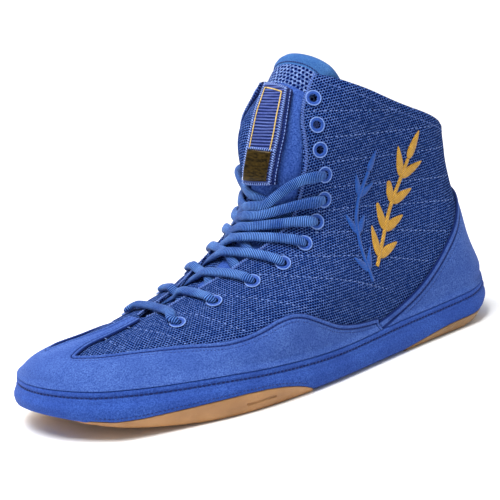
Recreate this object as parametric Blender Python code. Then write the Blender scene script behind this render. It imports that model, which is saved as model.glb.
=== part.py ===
import bmesh
import bpy
import math
import numpy as np
from mathutils import Vector

# Sizes are in millimetres and become metres when a mesh is made
MM = 0.001
GAP = 0.3
UPPER_WALL = 2.0
OVERLAY_THICK = 1.5
TONGUE_INSET = 3.5
TONGUE_THICK = 3.6
INSOLE_INSET = UPPER_WALL + GAP
TOE_SWING = -16.0
SWING_START = 110.0
SWING_LENGTH = 182.0
SHAFT_BLEND_LOW = 38.0
SHAFT_BLEND_HIGH = 92.0
HEEL_ROUND = 33.0
ROUND_POWER = 2.2
RING_SEGMENTS = 20

# Foot plan and feather line: x, lateral half width, medial half width, feather height
FOOT = [
    (0, 33, 33, 16.5),
    (30, 36, 34, 15.5),
    (70, 39.5, 34, 14.5),
    (110, 44.5, 35, 14),
    (150, 51, 39, 15.5),
    (190, 55, 45, 19),
    (215, 54.5, 47, 21.2),
    (250, 50.5, 46, 22.7),
    (292, 44, 43, 25),
]
# Shaft: height, half width
SHAFT = [(40, 33), (80, 30.5), (120, 31.5), (200, 34)]
# Front line of the last from toe to tongue top: x, height, rounding across
FRONT = [
    (290, 25, 42),
    (288, 32.5, 40),
    (280, 38.5, 38),
    (267, 42, 36),
    (243, 45, 36),
    (212, 52.5, 36),
    (182, 64.5, 38),
    (154, 87, 41),
    (149, 117, 45),
    (139, 144, 46),
    (112, 170, 46),
    (103, 182, 46),
]
# Back line of the heel from feather to above the collar: x, height
BACK = [(-4, 16.5), (-7.5, 30), (1, 58), (8, 88), (10.5, 112), (12, 126)]
# Collar line: x, height
COLLAR = [(6, 111.5), (34, 125), (62, 138), (90, 152.6), (108, 161), (126, 164)]
# Heights of the rings, as a share of the way from feather to collar
LEVELS = [
    -0.06, 0, 0.03, 0.06, 0.095, 0.135, 0.18, 0.23, 0.29,
    0.36, 0.44, 0.53, 0.63, 0.73, 0.81, 0.88, 0.94, 1, 1.06,
]
FEATHER_LEVEL = 1
TOE_OVERLAY_LEVEL = 8
HEEL_OVERLAY_LEVEL = 13
COLLAR_LEVEL = 17

# Throat: height on the front line, half width
THROAT = [
    (48.6, 2.5), (50, 4.5), (55, 6.5), (61, 10), (66, 13.5), (74, 17), (84, 21),
    (96, 24), (115, 26), (133, 25.5), (150, 22.5), (158, 20), (166, 18.5), (178, 20),
]
# Eyelets on each side from the top down: x, height
EYELETS = [
    (116, 149), (119, 135), (120, 121.5), (119, 107.5), (121, 94), (128, 83),
    (139, 73.5), (155, 66), (174, 60), (196, 53.5), (219, 47),
]
EYELET_HOLE_RADIUS = 2.1
EYELET_RADIUS = 4.6
EYELET_RISE = 0.8
EYELET_GAP = 0.65

# Toe overlay: x, top line height, half width of the centre strip
TOE_OVERLAY = [
    (85, 21, -2), (103, 22.5, -2), (115, 24, -2), (127, 26.5, -2), (139, 30.8, -2),
    (146, 34.5, -2), (153, 38.3, -2), (160, 41.5, -2), (167, 43, -2), (176, 42.3, -2),
    (186, 40, -2), (195, 38.2, -2), (205, 37.2, -2), (228, 38.4, -2), (229, 38.4, 5),
    (248, 38.9, 6), (262, 39.2, 8), (270, 39.4, 10.5), (276.5, 39.6, 13.5),
]
# Heel overlay: x, top line height
HEEL_OVERLAY = [(-15, 90), (0, 82), (12, 75), (28, 60), (44, 46), (63, 33), (80, 25.5), (103, 20), (110, 19)]
OVERLAY_SEAM_X = 103.0

# Sole side from the ground up: outward offset, share of the height
SOLE_SIDE = [(2.6, 0), (4.8, 0.12), (6, 0.42), (5.6, 0.72), (4.6, 0.79), (5.2, 0.86), (3.9, 1)]
TOE_LIFT = 12.0
TOE_LIFT_START = 206.0
TOE_LIFT_LENGTH = 86.0
HEEL_LIFT = 9.0
HEEL_LIFT_START = 34.0
WAIST_RISE = 1.5
# Gum pads, top line: x, height
FOREFOOT_GUM = [
    (163, 1.2), (165, 2.6), (169, 4.4), (175, 6.4), (184, 8.6), (195, 10.2), (208, 11),
    (225, 11), (245, 10.6), (262, 10.4), (275, 10.6), (284, 11.4),
]
HEEL_GUM = [(6, 7.6), (10, 7.4), (16, 6.7), (26, 6), (36, 5.8), (46, 5.5), (56, 4.6), (66, 3.4), (76, 2.3), (84, 1.6)]
GUM_SLOT_X = 199.0
GUM_SLOT_LENGTH = 16.0
GUM_SLOT_HEIGHT = 2.0
GUM_SLOT_Z = 5.5
GUM_SLOT_DEPTH = 1.2

# Tongue: height on the front line, half width
TONGUE = [(47.2, 9), (56, 15), (66, 21), (80, 26), (100, 28.5), (130, 29), (155, 27.5), (175, 27.5)]
TONGUE_BOTTOM = 47.2
TONGUE_TOP = 174.0
TONGUE_TOP_DROP = 2.0

# Band that hides the lace ends, on the tongue
GARTER_BOTTOM = 106.0
GARTER_TOP = 158.0
GARTER_HALF_WIDTH = 11.5
GARTER_SHIFT = 7.0
GARTER_THICK = 4.7
GARTER_SEAT = 0.6
PLATE_BOTTOM = 108.5
PLATE_TOP = 125.0
PLATE_HALF_WIDTH = 7.5
PLATE_THICK = 0.6

# Laces: height on the front line where the strands of each row cross
LACE_WIDTH = 5.6
LACE_THICK = 3.2
LACE_SIDES = 6
LACE_CROSSINGS = [(3, 97), (4, 91), (5, 85), (6, 79.5), (7, 72), (8, 63.5), (9, 56.3)]
LACE_PILED_ROWS = 4
LACE_BAR_HEIGHT = 51.0
LACE_DIVE = 0.5
LACE_START = 0.92
LACE_EDGE_CLEARANCE = 4.5
# Rise of a strand over its eyelet, then over the last: share of the run, upper strand, lower strand
LACE_RISE = [
    (0, 0, 0), (0.22, 4.2, 3.9), (0.36, 4.3, 3), (0.5, 4.4, 1.8),
    (0.64, 3.6, 1.3), (0.8, 1.6, 0.6), (1, -0.6, -0.6),
]
BAR_RISE = [(0, 3.9), (0.12, 3.8), (0.3, 2.8), (0.5, 2.2), (0.7, 2.8), (0.88, 3.8), (1, 3.9)]


def smooth(table, column, x):
    xs = np.array([row[0] for row in table], float)
    ys = np.array([row[column] for row in table], float)
    slope = np.gradient(ys, xs)
    x = np.clip(np.asarray(x, float), xs[0], xs[-1])
    i = np.clip(np.searchsorted(xs, x) - 1, 0, len(xs) - 2)
    h = xs[i + 1] - xs[i]
    t = (x - xs[i]) / h
    start = (1 + 2 * t) * (1 - t) ** 2 * ys[i] + t * (1 - t) ** 2 * h * slope[i]
    end = t ** 2 * (3 - 2 * t) * ys[i + 1] - t ** 2 * (1 - t) * h * slope[i + 1]
    return start + end


def straight(table, column, x):
    return np.interp(x, [row[0] for row in table], [row[column] for row in table])


def line_through(table, steps):
    points = np.array([row[:2] for row in table], float)
    reach = np.sqrt(np.linalg.norm(np.diff(points, axis=0), axis=1))
    along = np.concatenate([[0], np.cumsum(reach)])
    place = np.linspace(0, len(points) - 1, steps * (len(points) - 1) + 1)
    at = np.interp(place, np.arange(len(points)), along)
    rows = [(a, p[0], p[1]) for a, p in zip(along, points)]
    return np.stack([smooth(rows, 1, at), smooth(rows, 2, at)], 1), place


FRONT_LINE, FRONT_PLACE = line_through(FRONT, 14)
BACK_LINE, BACK_PLACE = line_through(BACK, 14)


def nearest(line, x, z):
    start = line[:-1]
    step = line[1:] - start
    q = np.stack([np.ravel(x), np.ravel(z)], 1)
    t = ((q[:, None, :] - start) * step).sum(2) / (step ** 2).sum(1)
    t = np.clip(t, 0, 1)
    away = np.linalg.norm(q[:, None, :] - start - t[..., None] * step, axis=2)
    i = away.argmin(1)
    row = np.arange(len(q))
    place = (i + t[row, i]) / (len(line) - 1)
    return away[row, i].reshape(np.shape(x)), place.reshape(np.shape(x))


def rounding(t):
    return np.sqrt(1 - (1 - np.clip(t, 0, 1)) ** ROUND_POWER)


def feather(x):
    return smooth(FOOT, 3, x)


def collar(x):
    return smooth(COLLAR, 1, x)


def centre(x):
    return TOE_SWING * np.clip((x - SWING_START) / SWING_LENGTH, 0, 1) ** 1.6


def base_width(x, z, side):
    foot = smooth(FOOT, 1 if side > 0 else 2, x)
    k = np.clip((z - SHAFT_BLEND_LOW) / (SHAFT_BLEND_HIGH - SHAFT_BLEND_LOW), 0, 1)
    k = k * k * (3 - 2 * k)
    return foot * (1 - k) + smooth(SHAFT, 1, z) * k


def half_width(x, z, side):
    ahead, place = nearest(FRONT_LINE, x, z)
    behind, _ = nearest(BACK_LINE, x, z)
    front_round = np.interp(place * (len(FRONT) - 1), np.arange(len(FRONT)), [row[2] for row in FRONT])
    return base_width(x, z, side) * rounding(ahead / front_round) * rounding(behind / HEEL_ROUND)


def level_share(line):
    low = feather(line[:, 0])
    return np.maximum.accumulate((line[:, 1] - low) / (collar(line[:, 0]) - low))


def last_grid():
    front_share = level_share(FRONT_LINE)
    back_share = level_share(BACK_LINE)
    turn = (1 - np.cos(np.linspace(0, math.pi, RING_SEGMENTS + 1))) / 2
    rings = []
    for level in LEVELS:
        held = max(level, 0)
        x_front = np.interp(held, front_share, FRONT_LINE[:, 0])
        x_back = np.interp(held, back_share, BACK_LINE[:, 0])
        x = x_back + (x_front - x_back) * turn
        z = feather(x) + level * (collar(x) - feather(x))
        z_shape = feather(x) + held * (collar(x) - feather(x))
        sides = []
        for side in (1, -1):
            wide = half_width(x, z_shape, side)
            wide[0] = 0
            wide[-1] = 0
            sides.append(np.stack([x, centre(x) + side * wide, z], 1))
        rings.append(np.concatenate([sides[0], sides[1][-2:0:-1]]))
    return np.array(rings)


def outward(grid):
    around = np.roll(grid, -1, axis=1) - np.roll(grid, 1, axis=1)
    up = np.gradient(grid, axis=0)
    normal = np.cross(up, around)
    normal[:FEATHER_LEVEL + 1, :, 2] = 0
    return normal / np.linalg.norm(normal, axis=2, keepdims=True)


LAST = last_grid()
LAST_NORMAL = outward(LAST)


def strip_faces(rows, columns):
    faces = []
    for i in range(rows - 1):
        for j in range(columns):
            a = i * columns + j
            b = i * columns + (j + 1) % columns
            faces.append((a, b, b + columns))
            faces.append((a, b + columns, a + columns))
    return faces


def cap_faces(first, count, pointed):
    faces = []
    if pointed:
        faces.append((first, first + 1, first + count - 1))
    shift = 0 if pointed else 1
    for i in range(1 - shift, count // 2 - 1):
        j = count - i - shift
        faces.append((first + i, first + i + 1, first + j))
        faces.append((first + i + 1, first + j - 1, first + j))
    if pointed:
        middle = count // 2
        faces.append((first + middle - 1, first + middle, first + middle + 1))
    return faces


def loft(rings, pointed):
    rings = np.asarray(rings, float)
    rows, columns = rings.shape[:2]
    faces = strip_faces(rows, columns)
    faces += cap_faces(0, columns, pointed)
    faces += cap_faces((rows - 1) * columns, columns, pointed)
    return rings.reshape(-1, 3), faces


def last_form(offset, low, high):
    part = slice(low, high + 1)
    return loft(LAST[part] + offset * LAST_NORMAL[part], True)


def front_point(place, y, offset):
    p = np.array([np.interp(place, FRONT_PLACE, FRONT_LINE[:, k]) for k in (0, 1)])
    ahead = np.array([np.interp(place + 0.04, FRONT_PLACE, FRONT_LINE[:, k]) for k in (0, 1)])
    before = np.array([np.interp(place - 0.04, FRONT_PLACE, FRONT_LINE[:, k]) for k in (0, 1)])
    along = (ahead - before) / np.linalg.norm(ahead - before)
    out = np.array([along[1], -along[0]])
    round_here = np.interp(place, np.arange(len(FRONT)), [row[2] for row in FRONT])
    depth = 0.0
    for _ in range(4):
        q = p - out * depth
        share = min(abs(y) / float(base_width(q[0], q[1], 1 if y > 0 else -1)), 0.97)
        depth = round_here * (1 - (1 - share ** 2) ** (1 / ROUND_POWER))
    q = p - out * depth
    point = np.array([q[0], float(centre(q[0])) + y, q[1]])
    if offset == 0:
        return point
    return point + offset * front_normal(place, y)


def front_normal(place, y):
    up = front_point(place + 0.05, y, 0) - front_point(place - 0.05, y, 0)
    across = front_point(place, y + 0.5, 0) - front_point(place, y - 0.5, 0)
    normal = np.cross(across, up)
    return normal / np.linalg.norm(normal)


def place_at(height):
    return float(np.interp(height, FRONT_LINE[:, 1], FRONT_PLACE))


def side_y(x, z, side):
    return float(centre(x)) + side * float(half_width(np.array([x]), np.array([z]), side)[0])


def side_point(x, z, side):
    along = side_y(x + 2.0, z, side) - side_y(x - 2.0, z, side)
    up = side_y(x, z + 2.0, side) - side_y(x, z - 2.0, side)
    normal = np.array([-along / 4, 1, -up / 4]) * side
    return np.array([x, side_y(x, z, side), z]), normal / np.linalg.norm(normal)


def eyelet_seat(row, side):
    point, normal = side_point(*EYELETS[row], side)
    highest = 0
    for k in range(8):
        x = point[0] + EYELET_RADIUS * math.cos(k * math.pi / 4) * abs(normal[1])
        z = point[2] + EYELET_RADIUS * math.sin(k * math.pi / 4) * abs(normal[1])
        rim = np.array([x, side_y(x, z, side), z])
        highest = max(highest, float(np.dot(rim - point, normal)))
    return EYELET_GAP + highest


def front_patch(rows, columns, low, high, half, inner, outer, drop=0, shift=0):
    rings = []
    for i in range(rows + 1):
        top_line = []
        under_line = []
        for j in range(columns + 1):
            share = 2 * j / columns - 1
            top = high - drop * share ** 4
            height = low + (top - low) * i / rows
            place = place_at(height)
            y = shift + share * half(height)
            top_line.append(front_point(place, y, outer))
            under_line.append(front_point(place, y, inner))
        rings.append(top_line + under_line[::-1])
    return loft(rings, False)


def side_prism(points, y_low, y_high):
    count = len(points)
    verts = [(x, y, z) for y in (y_low, y_high) for x, z in points]
    faces = [tuple(range(count)), tuple(range(2 * count - 1, count - 1, -1))]
    for i in range(count):
        j = (i + 1) % count
        faces.append((j, i, count + i, count + j))
    return verts, faces


def turned_ring(profile, sides, centre_point, axis):
    axis = Vector(axis)
    first = axis.orthogonal().normalized()
    second = axis.cross(first)
    verts = []
    for k in range(sides):
        a = 2 * math.pi * k / sides
        across = first * math.cos(a) + second * math.sin(a)
        for radius, rise in profile:
            verts.append(Vector(centre_point) + across * radius + axis * rise)
    count = len(profile)
    faces = []
    for k in range(sides):
        for m in range(count):
            n = (m + 1) % count
            q = (k + 1) % sides
            faces.append((k * count + m, k * count + n, q * count + n, q * count + m))
    return verts, faces


def cord(points, normals, width, thick, sides):
    points = np.array(points)
    normals = np.array(normals)
    run = np.gradient(points, axis=0)
    rings = []
    for p, n, r in zip(points, normals, run):
        r = r / np.linalg.norm(r)
        across = np.cross(n, r)
        across = across / np.linalg.norm(across)
        rise = np.cross(r, across)
        ring = []
        for k in range(sides):
            a = 2 * math.pi * (k + 0.5) / sides
            ring.append(p + across * math.cos(a) * width / 2 + rise * math.sin(a) * thick / 2)
        rings.append(ring)
    return loft(rings, False)


def sole_rings():
    base = LAST[FEATHER_LEVEL]
    normal = LAST_NORMAL[FEATHER_LEVEL]
    rings = []
    for offset, share in SOLE_SIDE:
        ring = base + normal * offset
        x = ring[:, 0]
        low = TOE_LIFT * np.clip((x - TOE_LIFT_START) / TOE_LIFT_LENGTH, 0, 1.1) ** 2
        low = low + HEEL_LIFT * np.clip((HEEL_LIFT_START - x) / HEEL_LIFT_START, 0, 1.3) ** 2
        ring[:, 2] = low + share * (feather(base[:, 0]) - GAP - low)
        rings.append(ring)
    return np.array(rings)


SOLE_RINGS = sole_rings()
X_MIDDLE = (SOLE_RINGS[..., 0].min() + SOLE_RINGS[..., 0].max()) / 2
Y_MIDDLE = (SOLE_RINGS[..., 1].min() + SOLE_RINGS[..., 1].max()) / 2


def add_object(name, shape, collection, material):
    verts, faces = shape
    mesh = bpy.data.meshes.new(name)
    placed = [((v[0] - X_MIDDLE) * MM, (v[1] - Y_MIDDLE) * MM, v[2] * MM) for v in verts]
    mesh.from_pydata(placed, [], faces)
    work = bmesh.new()
    work.from_mesh(mesh)
    bmesh.ops.recalc_face_normals(work, faces=work.faces)
    work.to_mesh(mesh)
    work.free()
    obj = bpy.data.objects.new(name, mesh)
    collection.objects.link(obj)
    if material:
        mesh.materials.append(material)
    return obj


def add_cutter(name, shape):
    obj = add_object(name, shape, cutters, None)
    obj.hide_render = True
    obj.display_type = "WIRE"
    return obj


def combine(obj, other, operation):
    modifier = obj.modifiers.new(other.name, "BOOLEAN")
    modifier.operation = operation
    modifier.solver = "EXACT"
    modifier.object = other


def add_material(name, colour, rough):
    material = bpy.data.materials.new(name)
    material.use_nodes = True
    shader = material.node_tree.nodes["Principled BSDF"]
    shader.inputs["Base Color"].default_value = (*colour, 1)
    shader.inputs["Roughness"].default_value = rough
    return material


for old in list(bpy.data.objects):
    bpy.data.objects.remove(old, do_unlink=True)

parts = bpy.data.collections.new("boxing_shoe")
cutters = bpy.data.collections.new("cutters")
bpy.context.scene.collection.children.link(parts)
bpy.context.scene.collection.children.link(cutters)

MESH_CLOTH = add_material("mesh_cloth", (0.02, 0.05, 0.32), 0.8)
SUEDE = add_material("suede", (0.07, 0.13, 0.56), 0.9)
SOLE_SUEDE = add_material("sole_suede", (0.06, 0.11, 0.5), 0.9)
GUM = add_material("gum_rubber", (0.55, 0.27, 0.08), 0.5)
FOOTBED = add_material("footbed_cloth", (0.03, 0.06, 0.3), 0.9)
TONGUE_CLOTH = add_material("tongue_cloth", (0.04, 0.09, 0.45), 0.85)
WEBBING = add_material("webbing", (0.05, 0.1, 0.45), 0.8)
FOIL = add_material("foil_plate", (0.6, 0.38, 0.08), 0.35)
LACE = add_material("lace_cloth", (0.06, 0.16, 0.6), 0.8)
ENAMEL = add_material("enamel", (0.07, 0.15, 0.6), 0.4)

# Upper: shell of the last, opened at the throat and holed for the eyelets
upper = add_object("upper", last_form(0, FEATHER_LEVEL, COLLAR_LEVEL), parts, MESH_CLOTH)
combine(upper, add_cutter("upper_inside", last_form(-UPPER_WALL, 0, len(LEVELS) - 1)), "DIFFERENCE")

throat_rings = []
for height, half in THROAT:
    place = place_at(height)
    lateral = front_point(place, half, 0)
    medial = front_point(place, -half, 0)
    lateral_normal = front_normal(place, half)
    medial_normal = front_normal(place, -half)
    throat_rings.append([
        lateral - 6 * lateral_normal,
        lateral + 5 * lateral_normal,
        front_point(place, 0, 14),
        medial + 5 * medial_normal,
        medial - 6 * medial_normal,
        front_point(place, 0, -9),
    ])
combine(upper, add_cutter("throat_opening", loft(throat_rings, True)), "DIFFERENCE")

hole_verts = []
hole_faces = []
for side in (1, -1):
    for number, (x, z) in enumerate(EYELETS, 1):
        point, normal = side_point(x, z, side)
        drill = bmesh.new()
        bmesh.ops.create_cone(drill, cap_ends=True, segments=6, radius1=EYELET_HOLE_RADIUS,
                              radius2=EYELET_HOLE_RADIUS, depth=12)
        turn = Vector((0, 0, 1)).rotation_difference(Vector(normal))
        first = len(hole_verts)
        hole_verts += [turn @ v.co + Vector(point) for v in drill.verts]
        hole_faces += [tuple(first + v.index for v in f.verts) for f in drill.faces]
        drill.free()
        name = "eyelet_" + ("lateral_" if side > 0 else "medial_") + str(number)
        seat = eyelet_seat(number - 1, side)
        profile = [
            (EYELET_HOLE_RADIUS, seat),
            (EYELET_RADIUS, seat),
            (EYELET_RADIUS - 0.3, seat + EYELET_RISE),
            (EYELET_HOLE_RADIUS, seat + EYELET_RISE),
        ]
        add_object(name, turned_ring(profile, 8, point, normal), parts, ENAMEL)
combine(upper, add_cutter("eyelet_holes", (hole_verts, hole_faces)), "DIFFERENCE")

# Toe overlay: a band of the last with a window on each side of the centre strip
overlay_top = GAP + OVERLAY_THICK
toe_overlay = add_object("toe_overlay", last_form(overlay_top, FEATHER_LEVEL, TOE_OVERLAY_LEVEL), parts, SUEDE)
toe_inside = add_cutter("toe_overlay_inside", last_form(GAP, 0, TOE_OVERLAY_LEVEL + 1))
combine(toe_overlay, toe_inside, "DIFFERENCE")
for side, name in ((1, "window_lateral"), (-1, "window_medial")):
    window_rings = []
    for x, top, strip in TOE_OVERLAY:
        near = float(centre(x)) + side * strip
        far = side * 90
        window_rings.append([(x, near, top), (x, far, top), (x, far, 130), (x, near, 130)])
    combine(toe_overlay, add_cutter(name, loft(window_rings, False)), "DIFFERENCE")
seam_front = OVERLAY_SEAM_X + GAP
behind_seam = [(-40, -20), (seam_front, -20), (seam_front, 140), (-40, 140)]
combine(toe_overlay, add_cutter("behind_seam", side_prism(behind_seam, -95, 95)), "DIFFERENCE")

# Heel overlay: a band of the last under its sweeping top line
heel_overlay = add_object("heel_overlay", last_form(overlay_top, FEATHER_LEVEL, HEEL_OVERLAY_LEVEL), parts, SUEDE)
heel_inside = add_cutter("heel_overlay_inside", last_form(GAP, 0, HEEL_OVERLAY_LEVEL + 1))
combine(heel_overlay, heel_inside, "DIFFERENCE")
sweep = [(x, float(smooth(HEEL_OVERLAY, 1, x))) for x in np.linspace(-15, OVERLAY_SEAM_X, 16)]
above_heel = [(320, -20), (320, 200), (-15, 200)] + sweep + [(OVERLAY_SEAM_X, -20)]
combine(heel_overlay, add_cutter("above_heel", side_prism(above_heel, -95, 95)), "DIFFERENCE")

# Sole: covered body over two gum pads
sole = add_object("sole", loft(SOLE_RINGS, True), parts, SOLE_SUEDE)
under_line = [(HEEL_GUM[0][0] - GAP, -20)]
under_line += [(x - GAP * (x == HEEL_GUM[0][0]), z + GAP) for x, z in HEEL_GUM]
under_line += [(HEEL_GUM[-1][0] + 2, WAIST_RISE), (FOREFOOT_GUM[0][0] - GAP, WAIST_RISE)]
under_line += [(x - GAP * (z < 9 and x < 150), z + GAP) for x, z in FOREFOOT_GUM]
under_line += [(FOREFOOT_GUM[-1][0] + GAP, FOREFOOT_GUM[-1][1] + GAP), (FOREFOOT_GUM[-1][0] + GAP, -20)]
combine(sole, add_cutter("sole_underside", side_prism(under_line, -95, 95)), "DIFFERENCE")

for name, table in (("outsole_forefoot", FOREFOOT_GUM), ("outsole_heel", HEEL_GUM)):
    pad = add_object(name, loft(SOLE_RINGS, True), parts, GUM)
    region = [(table[0][0], -20)] + list(table) + [(table[-1][0], -20)]
    combine(pad, add_cutter(name + "_region", side_prism(region, -95, 95)), "INTERSECT")
    if table is FOREFOOT_GUM:
        lateral_wall = SOLE_RINGS[2, :RING_SEGMENTS + 1]
        wall_y = float(np.interp(GUM_SLOT_X, lateral_wall[:, 0], lateral_wall[:, 1]))
        x_low = GUM_SLOT_X - GUM_SLOT_LENGTH / 2
        x_high = GUM_SLOT_X + GUM_SLOT_LENGTH / 2
        z_low = GUM_SLOT_Z - GUM_SLOT_HEIGHT / 2
        z_high = GUM_SLOT_Z + GUM_SLOT_HEIGHT / 2
        slot = [(x_low, z_low), (x_high, z_low), (x_high, z_high), (x_low, z_high)]
        slot_cutter = add_cutter("gum_slot", side_prism(slot, wall_y - GUM_SLOT_DEPTH, wall_y + 20))
        combine(pad, slot_cutter, "DIFFERENCE")

# Insole: footbed inside the upper, on the sole
insole_rings = LAST[FEATHER_LEVEL:FEATHER_LEVEL + 2] - INSOLE_INSET * LAST_NORMAL[FEATHER_LEVEL:FEATHER_LEVEL + 2]
add_object("insole", loft(insole_rings, True), parts, FOOTBED)


# Tongue under the throat, standing above the collar
def tongue_half(height):
    return float(smooth(TONGUE, 1, height))


tongue_under = -TONGUE_INSET - TONGUE_THICK
tongue_shape = front_patch(13, 8, TONGUE_BOTTOM, TONGUE_TOP, tongue_half, tongue_under, -TONGUE_INSET,
                           drop=TONGUE_TOP_DROP)
add_object("tongue", tongue_shape, parts, TONGUE_CLOTH)


# Band and plate on the tongue
def garter_half(height):
    return GARTER_HALF_WIDTH


def plate_half(height):
    return PLATE_HALF_WIDTH


garter_low = GARTER_SEAT - TONGUE_INSET
garter_top = garter_low + GARTER_THICK
garter_shape = front_patch(5, 6, GARTER_BOTTOM, GARTER_TOP, garter_half, garter_low, garter_top,
                           shift=GARTER_SHIFT)
add_object("lace_garter", garter_shape, parts, WEBBING)
plate_low = garter_top + GAP
plate_shape = front_patch(2, 4, PLATE_BOTTOM, PLATE_TOP, plate_half, plate_low, plate_low + PLATE_THICK,
                          shift=GARTER_SHIFT)
add_object("garter_plate", plate_shape, parts, FOIL)


# Laces: a bar over the lowest eyelets and a crossing for each row above it
def eyelet_front(row, side):
    x, z = EYELETS[row]
    _, share = nearest(FRONT_LINE, np.array([float(x)]), np.array([float(z)]))
    y = float(half_width(np.array([float(x)]), np.array([float(z)]), side)[0])
    return float(share[0]) * (len(FRONT) - 1), side * y * LACE_START


def strand(row, cross_height, side, column):
    start, start_y = eyelet_front(row, side)
    cross = place_at(cross_height)
    end = cross - LACE_DIVE * (start - cross)
    end_y = -side * (float(straight(THROAT, 1, cross_height)) - LACE_EDGE_CLEARANCE)
    over_eyelet = eyelet_seat(row, side) + EYELET_RISE + LACE_THICK / 2 + 2 * GAP
    points = []
    normals = []
    for entry in LACE_RISE:
        before = max(1 - 2 * entry[0], 0)
        after = max(2 * entry[0] - 1, 0)
        place = cross + (start - cross) * before + (end - cross) * after
        y = start_y * before + end_y * after
        rise = entry[column] + (over_eyelet if entry[0] == 0 else 0)
        points.append(front_point(place, y, rise))
        normals.append(front_normal(place, y))
    return cord(points, normals, LACE_WIDTH, LACE_THICK, LACE_SIDES)


crossings = []
for number, (row, cross_height) in enumerate(LACE_CROSSINGS, 1):
    upper_strand = strand(row, cross_height, 1, 1)
    lower_strand = strand(row, cross_height, -1, 2)
    if number == 1 or number > LACE_PILED_ROWS:
        name = "lace_crossing_" + str(len(crossings) + 1)
        crossings.append(add_object(name, upper_strand, parts, LACE))
    else:
        combine(crossings[-1], add_cutter("upper_strand_" + str(number), upper_strand), "UNION")
    combine(crossings[-1], add_cutter("lower_strand_" + str(number), lower_strand), "UNION")

bar_end, lateral_y = eyelet_front(len(EYELETS) - 1, 1)
_, medial_y = eyelet_front(len(EYELETS) - 1, -1)
bar_middle = place_at(LACE_BAR_HEIGHT)
bar_points = []
bar_normals = []
for share, rise in BAR_RISE:
    bow = 1 - (2 * share - 1) ** 2
    place = bar_end + (bar_middle - bar_end) * bow
    y = lateral_y + (medial_y - lateral_y) * share
    bar_points.append(front_point(place, y, rise))
    bar_normals.append(front_normal(place, y))
add_object("lace_bar", cord(bar_points, bar_normals, LACE_WIDTH, LACE_THICK, LACE_SIDES), parts, LACE)
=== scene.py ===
import math
import bpy
import numpy as np
from mathutils import Matrix, Vector


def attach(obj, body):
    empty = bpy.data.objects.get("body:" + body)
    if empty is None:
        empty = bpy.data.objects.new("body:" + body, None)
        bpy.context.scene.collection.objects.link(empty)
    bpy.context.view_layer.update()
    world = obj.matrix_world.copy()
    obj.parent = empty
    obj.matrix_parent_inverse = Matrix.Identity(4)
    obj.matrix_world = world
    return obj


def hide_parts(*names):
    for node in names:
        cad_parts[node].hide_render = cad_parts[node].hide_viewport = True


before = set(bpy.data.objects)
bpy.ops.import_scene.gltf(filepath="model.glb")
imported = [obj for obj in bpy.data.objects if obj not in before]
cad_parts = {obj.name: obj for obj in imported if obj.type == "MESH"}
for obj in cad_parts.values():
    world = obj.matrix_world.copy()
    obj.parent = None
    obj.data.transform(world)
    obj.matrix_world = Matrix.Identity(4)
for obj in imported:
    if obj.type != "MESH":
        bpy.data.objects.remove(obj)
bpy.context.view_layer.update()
print("frame loaded,", len(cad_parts), "solids")

# The last that upper, overlays, sole and tongue follow, in millimetres
last = {
    "foot": [  # x, lateral half width, medial half width, feather height
        (0, 33, 33, 16.5), (30, 36, 34, 15.5), (70, 39.5, 34, 14.5), (110, 44.5, 35, 14), (150, 51, 39, 15.5),
        (190, 55, 45, 19), (215, 54.5, 47, 21.2), (250, 50.5, 46, 22.7), (292, 44, 43, 25),
    ],
    "shaft": [(40, 33), (80, 30.5), (120, 31.5), (200, 34)],  # height, half width
    "front": [  # x, height, rounding across
        (290, 25, 42), (288, 32.5, 40), (280, 38.5, 38), (267, 42, 36), (243, 45, 36), (212, 52.5, 36),
        (182, 64.5, 38), (154, 87, 41), (149, 117, 45), (139, 144, 46), (112, 170, 46), (103, 182, 46),
    ],
    "back": [(-4, 16.5), (-7.5, 30), (1, 58), (8, 88), (10.5, 112), (12, 126)],
    "collar": [(6, 111.5), (34, 125), (62, 138), (90, 152.6), (108, 161), (126, 164)],
    "toeSwing": -16.0,
    "swingStart": 110.0,
    "swingLength": 182.0,
    "swingPower": 1.6,
    "shaftBlend": (38.0, 92.0),
    "heelRound": 33.0,
    "roundPower": 2.2,
    "origin": (143.0, -1.3347, 0.0),  # the shared frame's origin on the last
    "lineSteps": 14,
}
farOff = 99.0  # stands for no edge near by
mm = 0.001  # tables are in millimetres, the frame is in metres
throatTable = [  # height on the front line, half width
    (48.6, 2.5), (50, 4.5), (55, 6.5), (61, 10), (66, 13.5), (74, 17), (84, 21),
    (96, 24), (115, 26), (133, 25.5), (150, 22.5), (158, 20), (166, 18.5), (178, 20),
]
eyeletTable = [  # x, height, from the top down
    (116, 149), (119, 135), (120, 121.5), (119, 107.5), (121, 94), (128, 83),
    (139, 73.5), (155, 66), (174, 60), (196, 53.5), (219, 47),
]


def smooth(table, column, x):
    xs = np.array([row[0] for row in table], float)
    ys = np.array([row[column] for row in table], float)
    slope = np.gradient(ys, xs)
    x = np.clip(np.asarray(x, float), xs[0], xs[-1])
    i = np.clip(np.searchsorted(xs, x) - 1, 0, len(xs) - 2)
    h = xs[i + 1] - xs[i]
    t = (x - xs[i]) / h
    start = (1 + 2 * t) * (1 - t) ** 2 * ys[i] + t * (1 - t) ** 2 * h * slope[i]
    end = t ** 2 * (3 - 2 * t) * ys[i + 1] - t ** 2 * (1 - t) * h * slope[i + 1]
    return start + end


def straight(table, column, x):
    return np.interp(x, [row[0] for row in table], [row[column] for row in table])


def step(low, high, x):
    t = np.clip((np.asarray(x, float) - low) / (high - low), 0, 1)
    return t * t * (3 - 2 * t)


def unit(v):
    return v / np.maximum(np.linalg.norm(v, axis=-1, keepdims=True), 1e-9)


def reachAlong(points):
    return np.concatenate([[0], np.cumsum(np.linalg.norm(np.diff(points, axis=0), axis=1))])


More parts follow.
